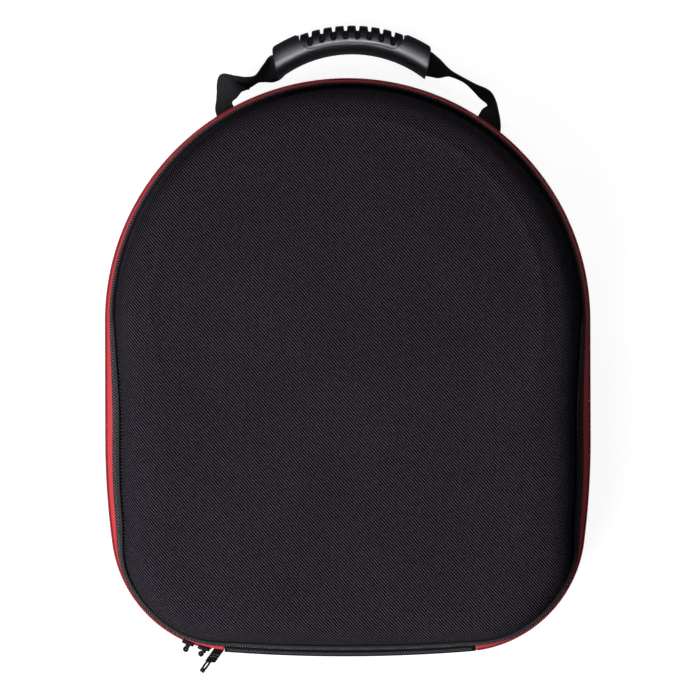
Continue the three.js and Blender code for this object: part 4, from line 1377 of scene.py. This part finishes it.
def strap_surface(sizes):
    """The webbing: a flat section with rounded edges carried along a spline, turned so that its
    lower edge points as the tables say, and upright inside the grip."""
    turns = np.array(STRAP_TURNS, float)
    inside = arch_points(turns, STRAP_RADIUS - GRIP_RADIUS, 0.0)
    middles = np.concatenate([LEFT_STRAP[:, :3] * MM, inside, RIGHT_STRAP[::-1, :3] * MM])
    upright = np.tile([0.0, 0.0, -1.0], (len(turns), 1))
    directions = np.concatenate([LEFT_STRAP[:, 3:], upright, RIGHT_STRAP[::-1, 3:]])
    path = through_points(middles, STRAP_PER_ROW)
    lower = through_points(directions, STRAP_PER_ROW)
    lower /= np.linalg.norm(lower, axis=1)[:, None]
    way = np.gradient(path, axis=0)
    face = np.cross(way, lower)
    face /= np.linalg.norm(face, axis=1)[:, None]
    share = np.sin(np.linspace(-STRAP_SPREAD, STRAP_SPREAD, STRAP_ACROSS) * math.pi)
    across = share * sizes.strap_width / 2
    plump = np.sqrt(1 - share**STRAP_EDGE_POWER) * sizes.strap_thickness / 2
    around = np.concatenate([across, across[::-1]])
    through = np.concatenate([plump, -plump[::-1]])
    rings = path[:, None] + lower[:, None] * around[:, None] + face[:, None] * through[:, None]
    steps = np.linalg.norm(np.diff(path, axis=0), axis=1)
    along = np.concatenate([[0.0], np.cumsum(steps)])
    flat = np.stack(np.broadcast_arrays(around[None, :], along[:, None]), axis=-1)
    surface = Surface()
    surface.add_lofts(rings, flat)
    return surface, along[-1]


def seat_level(turn):
    """Radial level of the pad's seat: even in the middle, and rising as a square towards both ends."""
    past = np.clip(np.abs(turn) - PAD_CORNER_TURN, 0.0, None) / (PAD_END_TURN - PAD_CORNER_TURN)
    return PAD_LEVEL + PAD_CORNER_RISE * past**2


def seam_turn(level):
    """Section angle, from the top, at which the grip's section has this radial level."""
    return np.arccos(np.clip(signed_power(level / GRIP_HALF_THICKNESS, 1 / GRIP_POWER), -1.0, 1.0))


def grip_section(angle, swell):
    """Radial and sideways size of the grip's rounded section; swell thickens its outer side."""
    upward = signed_power(np.cos(angle), GRIP_POWER)
    sideways = signed_power(np.sin(angle), GRIP_POWER)
    outward = np.where(upward > 0, swell, np.minimum(swell, 0.0))
    radial = upward * (GRIP_HALF_THICKNESS + outward)
    aside = sideways * (GRIP_HALF_DEPTH + np.minimum(swell, 0.0))
    return radial, aside


def grip_rings():
    """Rings of the grip's body: the section's lower part, closed over the pad's seat by a flat, or
    by the section's own top on the collars; the ends are rounded like a quarter circle."""
    limit = PAD_END_TURN + SEAT_MARGIN_TURN
    spread = np.linspace(-GRIP_END_TURN, GRIP_END_TURN, GRIP_STEPS)
    ends = GRIP_END_TURN - np.array(END_TURNS)
    seat = np.array([limit - SEAT_EDGE_TURN, limit + SEAT_EDGE_TURN])
    low_step = np.array([COLLAR_STEP, COLLAR_STEP + STEP_EDGE_TURN])
    high_step = np.array([COLLAR_TURN - STEP_EDGE_TURN, COLLAR_TURN])
    close = np.concatenate([ends, seat, low_step, high_step])
    turn = np.unique(np.concatenate([spread, close, -close]))
    size = np.abs(turn)
    past = np.clip((size - (GRIP_END_TURN - END_ROUND_TURN)) / END_ROUND_TURN, 0.0, 1.0)
    rounding = END_ROUNDING * (1 - np.sqrt(1 - past**2))
    swell = COLLAR_SWELL * smooth((size - COLLAR_STEP) / (COLLAR_TURN - COLLAR_STEP)) - rounding
    cut = (size < limit)[:, None]
    level = seat_level(np.minimum(size, PAD_END_TURN))
    split = np.where(size < limit, seam_turn(level), CAP_ANGLE)[:, None]
    lower = split + (2 * math.pi - 2 * split) * np.linspace(0, 1, GRIP_LOWER)[None, :]
    upper = -split + 2 * split * np.linspace(0, 1, GRIP_UPPER + 2)[None, 1:-1]
    low_radial, low_aside = grip_section(lower, swell[:, None])
    top_radial, top_aside = grip_section(upper, swell[:, None])
    flat_share = np.linspace(-1, 1, GRIP_UPPER + 2)[None, 1:-1]
    flat_radial = np.broadcast_to(level[:, None] - SEAM_DEPTH, top_radial.shape)
    flat_aside = low_aside[:, :1] * flat_share * SEAT_WIDTH_SHARE
    radial = np.concatenate([low_radial, np.where(cut, flat_radial, top_radial)], axis=1)
    aside = np.concatenate([low_aside, np.where(cut, flat_aside, top_aside)], axis=1)
    return turn, radial, aside, np.concatenate([lower, upper + 2 * math.pi], axis=1)


def grip_surface():
    """The grip's body with a hollow mouth at each end, as rings from one mouth's floor to the other."""
    turn, radial, aside, angle = grip_rings()
    body = arch_points(turn[:, None], radial, aside)

    def mouth(end, share, scale):
        """A ring of one end's mouth at a share of its depth."""
        reach = GRIP_END_TURN + (MOUTH_INNER_TURN - GRIP_END_TURN) * share
        inner_radial = signed_power(np.cos(angle[end]), MOUTH_POWER) * MOUTH_HALF_RADIAL * scale
        inner_aside = signed_power(np.sin(angle[end]), MOUTH_POWER) * MOUTH_HALF_DEPTH * scale
        return arch_points(np.sign(turn[end]) * reach, inner_radial, inner_aside)

    first = np.stack([mouth(0, *row) for row in MOUTH_RINGS])
    last = np.stack([mouth(-1, *row) for row in MOUTH_RINGS[::-1]])
    surface = Surface()
    surface.add_lofts(np.concatenate([first, body, last]))
    return surface


def pad_surface():
    """The ribbed pad: the section's top between the two seams, closed below by a flat. Grooves are
    slots with round feet: their depth eases over a wall by the distance from the slot's line."""
    turn = np.linspace(-PAD_END_TURN, PAD_END_TURN, PAD_STEPS)
    level = seat_level(turn)
    split = seam_turn(level)[:, None]
    share = np.linspace(-1, 1, PAD_UPPER)[None, :]
    angle = split * share
    radial, aside = grip_section(angle, np.zeros_like(angle))
    groove_turn = (np.round(turn / RIB_PITCH - 0.5) + 0.5) * RIB_PITCH
    apart = np.radians(turn - groove_turn)[:, None] * (GRIP_RADIUS + radial)
    below = np.minimum(radial - GROOVE_FOOT, 0.0)
    half = GROOVE_HALF + GROOVE_BULB * bell(radial - GROOVE_FOOT, GROOVE_BULB_WIDTH)
    depth = smooth((half + GROOVE_WALL / 2 - np.hypot(apart, below)) / GROOVE_WALL)
    depth = depth * np.where(np.abs(groove_turn) > END_GROOVE_TURN, END_GROOVE_SHARE, 1.0)[:, None]
    past_groove = np.abs(apart) - GROOVE_HALF - GROOVE_WALL
    rib_round = 1 - RIB_ROUND * smooth(past_groove / RIB_ROUND_WIDTH)
    top = smooth((radial / GRIP_HALF_THICKNESS - 1 + RIB_TOP_SHARE) / RIB_TOP_SHARE)
    edge = (1 - np.abs(share)) * split * GRIP_HALF_DEPTH
    ends = np.radians(PAD_END_TURN - np.abs(turn))[:, None] * GRIP_RADIUS
    seam = 1 - smooth(np.minimum(edge, ends) / SEAM_ROUNDING)
    sink = depth * GROOVE_DEPTH * np.cos(angle) + seam * SEAM_DEPTH + RIB_TOP_SINK * rib_round * top
    radial = radial - sink
    side_sink = depth * GROOVE_SIDE_DEPTH + seam * SEAM_DEPTH
    aside = aside - np.sign(aside) * np.minimum(side_sink, np.abs(aside))
    flat_share = np.linspace(1, -1, PAD_LOWER + 2)[None, 1:-1]
    flat_aside = aside[:, -1:] * flat_share
    flat_radial = np.broadcast_to(level[:, None] - PAD_UNDER, flat_aside.shape)
    radial = np.concatenate([radial, flat_radial], axis=1)
    aside = np.concatenate([aside, flat_aside], axis=1)
    surface = Surface()
    surface.add_lofts(arch_points(turn[:, None], radial, aside))
    return surface


# Stage: camera, floor and light

CAMERA_PLACE = (1.58 * MM, 12.03 * MM, 1.45)
CAMERA_ROLL = math.radians(-0.15)
CAMERA_LENS = 102.4
FLOOR_HALF = 20.0
FLOOR_GLOW = 0.92
WORLD_COLOUR = (0.95, 0.97, 1.0)
WORLD_STRENGTH = 0.075
WHITE = (1.0, 1.0, 1.0)
COOL_WHITE = (0.91, 0.92, 1.0)
# Lights: name, place, aim, width, length, power, spread in degrees, colour, and whether matte and
# glossy finishes show it
LIGHTS = (
    ("key", (-0.76, -0.72, 1.36), (0.0, 0.0, 0.0), 0.8, 0.8, 24.5, 180, WHITE, True, True),
    ("far_fill", (-0.2, 1.35, 0.8), (0.0, 0.05, 0.05), 0.9, 0.9, 2.5, 180, WHITE, True, False),
    ("grip_light", (0.0, -0.31, 1.6), (0.0, 0.235, 0.02), 0.4, 0.3, 1.1, 14, COOL_WHITE, False, True),
)


def floor_finish(colours):
    """Pale matte floor that glows a little, so that shadows stay light."""
    material, _, shader = start_finish("pale_floor", roughness=0.9, Emission_Strength=FLOOR_GLOW)
    shader.inputs["Base Color"].default_value = (*colours.floor, 1.0)
    shader.inputs["Emission Color"].default_value = (*WHITE, 1.0)
    return material


def floor_object(colours):
    """A flat square floor at the height that the case rests on."""
    corners = np.array([(-1, -1, 0), (1, -1, 0), (1, 1, 0), (-1, 1, 0)]) * FLOOR_HALF
    mesh = bpy.data.meshes.new("floor")
    mesh.from_pydata(corners.tolist(), [], [(0, 1, 2, 3)])
    floor = bpy.data.objects.new("floor", mesh)
    mesh.materials.append(floor_finish(colours))
    bpy.context.scene.collection.objects.link(floor)
    floor.visible_diffuse = False
    floor.visible_glossy = False


def add_light(name, where, aim, width, length, power, spread, colour, matte, glossy):
    """A soft oblong light that faces its aim, with a grid that narrows its spread."""
    data = bpy.data.lights.new(name, "AREA")
    data.energy = power
    data.color = colour
    data.shape = "RECTANGLE"
    data.size = width
    data.size_y = length
    data.spread = math.radians(spread)
    lamp = bpy.data.objects.new(name, data)
    lamp.location = where
    lamp.rotation_euler = (Vector(where) - Vector(aim)).to_track_quat("Z", "Y").to_euler()
    lamp.visible_diffuse = matte
    lamp.visible_glossy = glossy
    bpy.context.scene.collection.objects.link(lamp)


def add_camera():
    """A camera straight above the case, as the photograph was taken."""
    data = bpy.data.cameras.new("camera")
    data.lens = CAMERA_LENS
    camera = bpy.data.objects.new("camera", data)
    camera.location = CAMERA_PLACE
    camera.rotation_euler = (0.0, 0.0, CAMERA_ROLL)
    bpy.context.scene.collection.objects.link(camera)
    bpy.context.scene.camera = camera


def set_world():
    """A dim even sky, and plain display of colours."""
    world = bpy.data.worlds.new("studio")
    world.use_nodes = True
    background = world.node_tree.nodes["Background"]
    background.inputs["Color"].default_value = (*WORLD_COLOUR, 1.0)
    background.inputs["Strength"].default_value = WORLD_STRENGTH
    bpy.context.scene.world = world
    bpy.context.scene.view_settings.view_transform = "Standard"


# Operators


class CASE_OT_stage(bpy.types.Operator):
    """Add the camera, floor and lights"""

    bl_idname = "cable_case.stage"
    bl_label = "Add Stage"

    def execute(self, context):
        add_camera()
        floor_object(context.scene.case_colours)
        for row in LIGHTS:
            add_light(*row)
        set_world()
        return {"FINISHED"}


class CASE_OT_shells(bpy.types.Operator):
    """Add the two moulded, cloth-covered half shells"""

    bl_idname = "cable_case.shells"
    bl_label = "Add Half Shells"

    def execute(self, context):
        sizes = context.scene.case_sizes
        outline = Outline(sizes)
        cloth = shell_cloth_finish(sizes, context.scene.case_colours)
        rows = (("shell_front_cloth", "front_shell", False), ("shell_back_cloth", "back_shell", True))
        for name, node, turned_over in rows:
            surface = shell_surface(outline, sizes, turned_over)
            piece = make_piece(name, surface, cloth, stands_for=(node,))
        return {"FINISHED"}


class CASE_OT_zip(bpy.types.Operator):
    """Add the red zip tapes and teeth"""

    bl_idname = "cable_case.zip"
    bl_label = "Add Zip"

    def execute(self, context):
        sizes = context.scene.case_sizes
        colours = context.scene.case_colours
        outline = Outline(sizes)
        red = red_tape_finish(colours)
        for name, node, side in (("tape_front", "zip_tape_front", 1), ("tape_back", "zip_tape_back", -1)):
            make_piece(name, tape_surface(outline, side), red, stands_for=(node,))
        teeth = teeth_surface(outline, sizes)
        make_piece("zip_teeth", teeth, teeth_finish(colours), stands_for=("zip_chain",))
        return {"FINISHED"}


class CASE_OT_hinge(bpy.types.Operator):
    """Add the hinge tape"""

    bl_idname = "cable_case.hinge"
    bl_label = "Add Hinge Tape"

    def execute(self, context):
        outline = Outline(context.scene.case_sizes)
        colours = context.scene.case_colours
        # amount paints the hinge tape's rib tops lighter, a painted highlight.
        twill = twill_finish("hinge_tape_twill", colours, pitch=1.3 * MM, amount=1.9)
        surface, flat = hinge_surface(outline)
        band = make_piece("hinge_band", surface, twill, stands_for=("hinge_tape",))
        return {"FINISHED"}


class CASE_OT_sewing(bpy.types.Operator):
    """Add the rows of slanted stitches round the rims and on the hinge"""

    bl_idname = "cable_case.sewing"
    bl_label = "Add Sewing"

    def execute(self, context):
        sizes = context.scene.case_sizes
        outline = Outline(sizes)
        colours = context.scene.case_colours
        thread = thread_finish(colours)
        for name, side in (("rim_stitches_front", 1), ("rim_stitches_back", -1)):
            make_piece(name, rim_stitch_surface(outline, sizes, side), thread)
        lip = moulded_finish(
            "rim_lip_rubber",
            tuple(colours.lip),
            roughness=0.6,
            shine=0.18,
            grain_scale=900.0,
            grain_depth=0.03 * MM,
        )
        for name, side in (("rim_lip_front", 1), ("rim_lip_back", -1)):
            make_piece(name, bead_surface(outline, side), lip)
        make_piece("hinge_stitches", hinge_stitch_surface(outline, sizes), thread)
        return {"FINISHED"}


class CASE_OT_zip_end(bpy.types.Operator):
    """Add the sliders, pulls, lock tab and lock plate at the zip's end"""

    bl_idname = "cable_case.zip_end"
    bl_label = "Add Zip End"

    def execute(self, context):
        colours = context.scene.case_colours
        outline = Outline(context.scene.case_sizes)
        metal = metal_finish(colours)
        for number, x, lean in SLIDERS:
            local = LocalFrame(outline, x)
            slider_node = f"zip_slider_{number}"
            pull_node = f"zip_pull_{number}"
            slider = slider_surface(local)
            make_piece(f"slider_{number}", slider, metal, stands_for=(slider_node,))
            pull = pull_surface(local, lean)
            body = f"pull_{number}"
            make_piece(f"ring_pull_{number}", pull, metal, body, (pull_node,))
        local = LocalFrame(outline, LOCK_X)
        # amount paints the lock tab's rib tops lighter, a painted highlight.
        twill = twill_finish("lock_tab_twill", colours, pitch=0.9 * MM, amount=1.7)
        make_piece("lock_fold", lock_tab_surface(local), twill, stands_for=("lock_tab",))
        make_piece("lock_stitches", lock_stitch_surface(local), thread_finish(colours))
        make_piece("lock_plate", lock_plate_surface(local), metal, stands_for=("lock_loop",))
        return {"FINISHED"}


class CASE_OT_handle(bpy.types.Operator):
    """Add the webbing strap, the grip and its ribbed pad"""

    bl_idname = "cable_case.handle"
    bl_label = "Add Handle"

    def execute(self, context):
        sizes = context.scene.case_sizes
        colours = context.scene.case_colours
        webbing, length = strap_surface(sizes)
        weave = webbing_finish(colours)
        strap = make_piece("strap_webbing", webbing, weave, stands_for=("handle_strap",))
        plastic = moulded_finish(
            "grip_satin_plastic",
            tuple(colours.grip),
            roughness=0.42,
            shine=0.4,
            grain_scale=900.0,
            grain_depth=0.01 * MM,
        )
        make_piece("grip_body", grip_surface(), plastic, stands_for=("handle_grip",))
        rubber = moulded_finish(
            "pad_soft_rubber",
            tuple(colours.pad),
            roughness=0.34,
            shine=0.25,
            grain_scale=1200.0,
            grain_depth=0.02 * MM,
        )
        make_piece("grip_ribs", pad_surface(), rubber, stands_for=("grip_pad",))
        return {"FINISHED"}


OPERATORS = (
    CASE_OT_stage,
    CASE_OT_shells,
    CASE_OT_zip,
    CASE_OT_hinge,
    CASE_OT_sewing,
    CASE_OT_zip_end,
    CASE_OT_handle,
)


class CASE_PT_sidebar(bpy.types.Panel):
    """Lists the case's sizes, colours and pieces"""

    bl_label = "Cable Case"
    bl_idname = "CASE_PT_sidebar"
    bl_space_type = "VIEW_3D"
    bl_region_type = "UI"
    bl_category = "Cable Case"

    def draw(self, context):
        """Shows each size and colour, then a button for each operator."""
        for group in (context.scene.case_sizes, context.scene.case_colours):
            column = self.layout.column()
            for name in group.__annotations__:
                column.prop(group, name)
        for operator in OPERATORS:
            self.layout.operator(operator.bl_idname)


CLASSES = (CaseSizes, CaseColours, *OPERATORS, CASE_PT_sidebar)


def register():
    """Adds the classes and the scene's sizes and colours."""
    for item in CLASSES:
        bpy.utils.register_class(item)
    bpy.types.Scene.case_sizes = PointerProperty(type=CaseSizes)
    bpy.types.Scene.case_colours = PointerProperty(type=CaseColours)


def unregister():
    """Takes away what register added, in the opposite order."""
    del bpy.types.Scene.case_colours
    del bpy.types.Scene.case_sizes
    for item in reversed(CLASSES):
        bpy.utils.unregister_class(item)


def main():
    """Builds the stage and every piece."""
    register()
    bpy.ops.cable_case.stage()
    bpy.ops.cable_case.shells()
    bpy.ops.cable_case.zip()
    bpy.ops.cable_case.hinge()
    bpy.ops.cable_case.sewing()
    bpy.ops.cable_case.zip_end()
    bpy.ops.cable_case.handle()


if __name__ == "__main__":
    main()
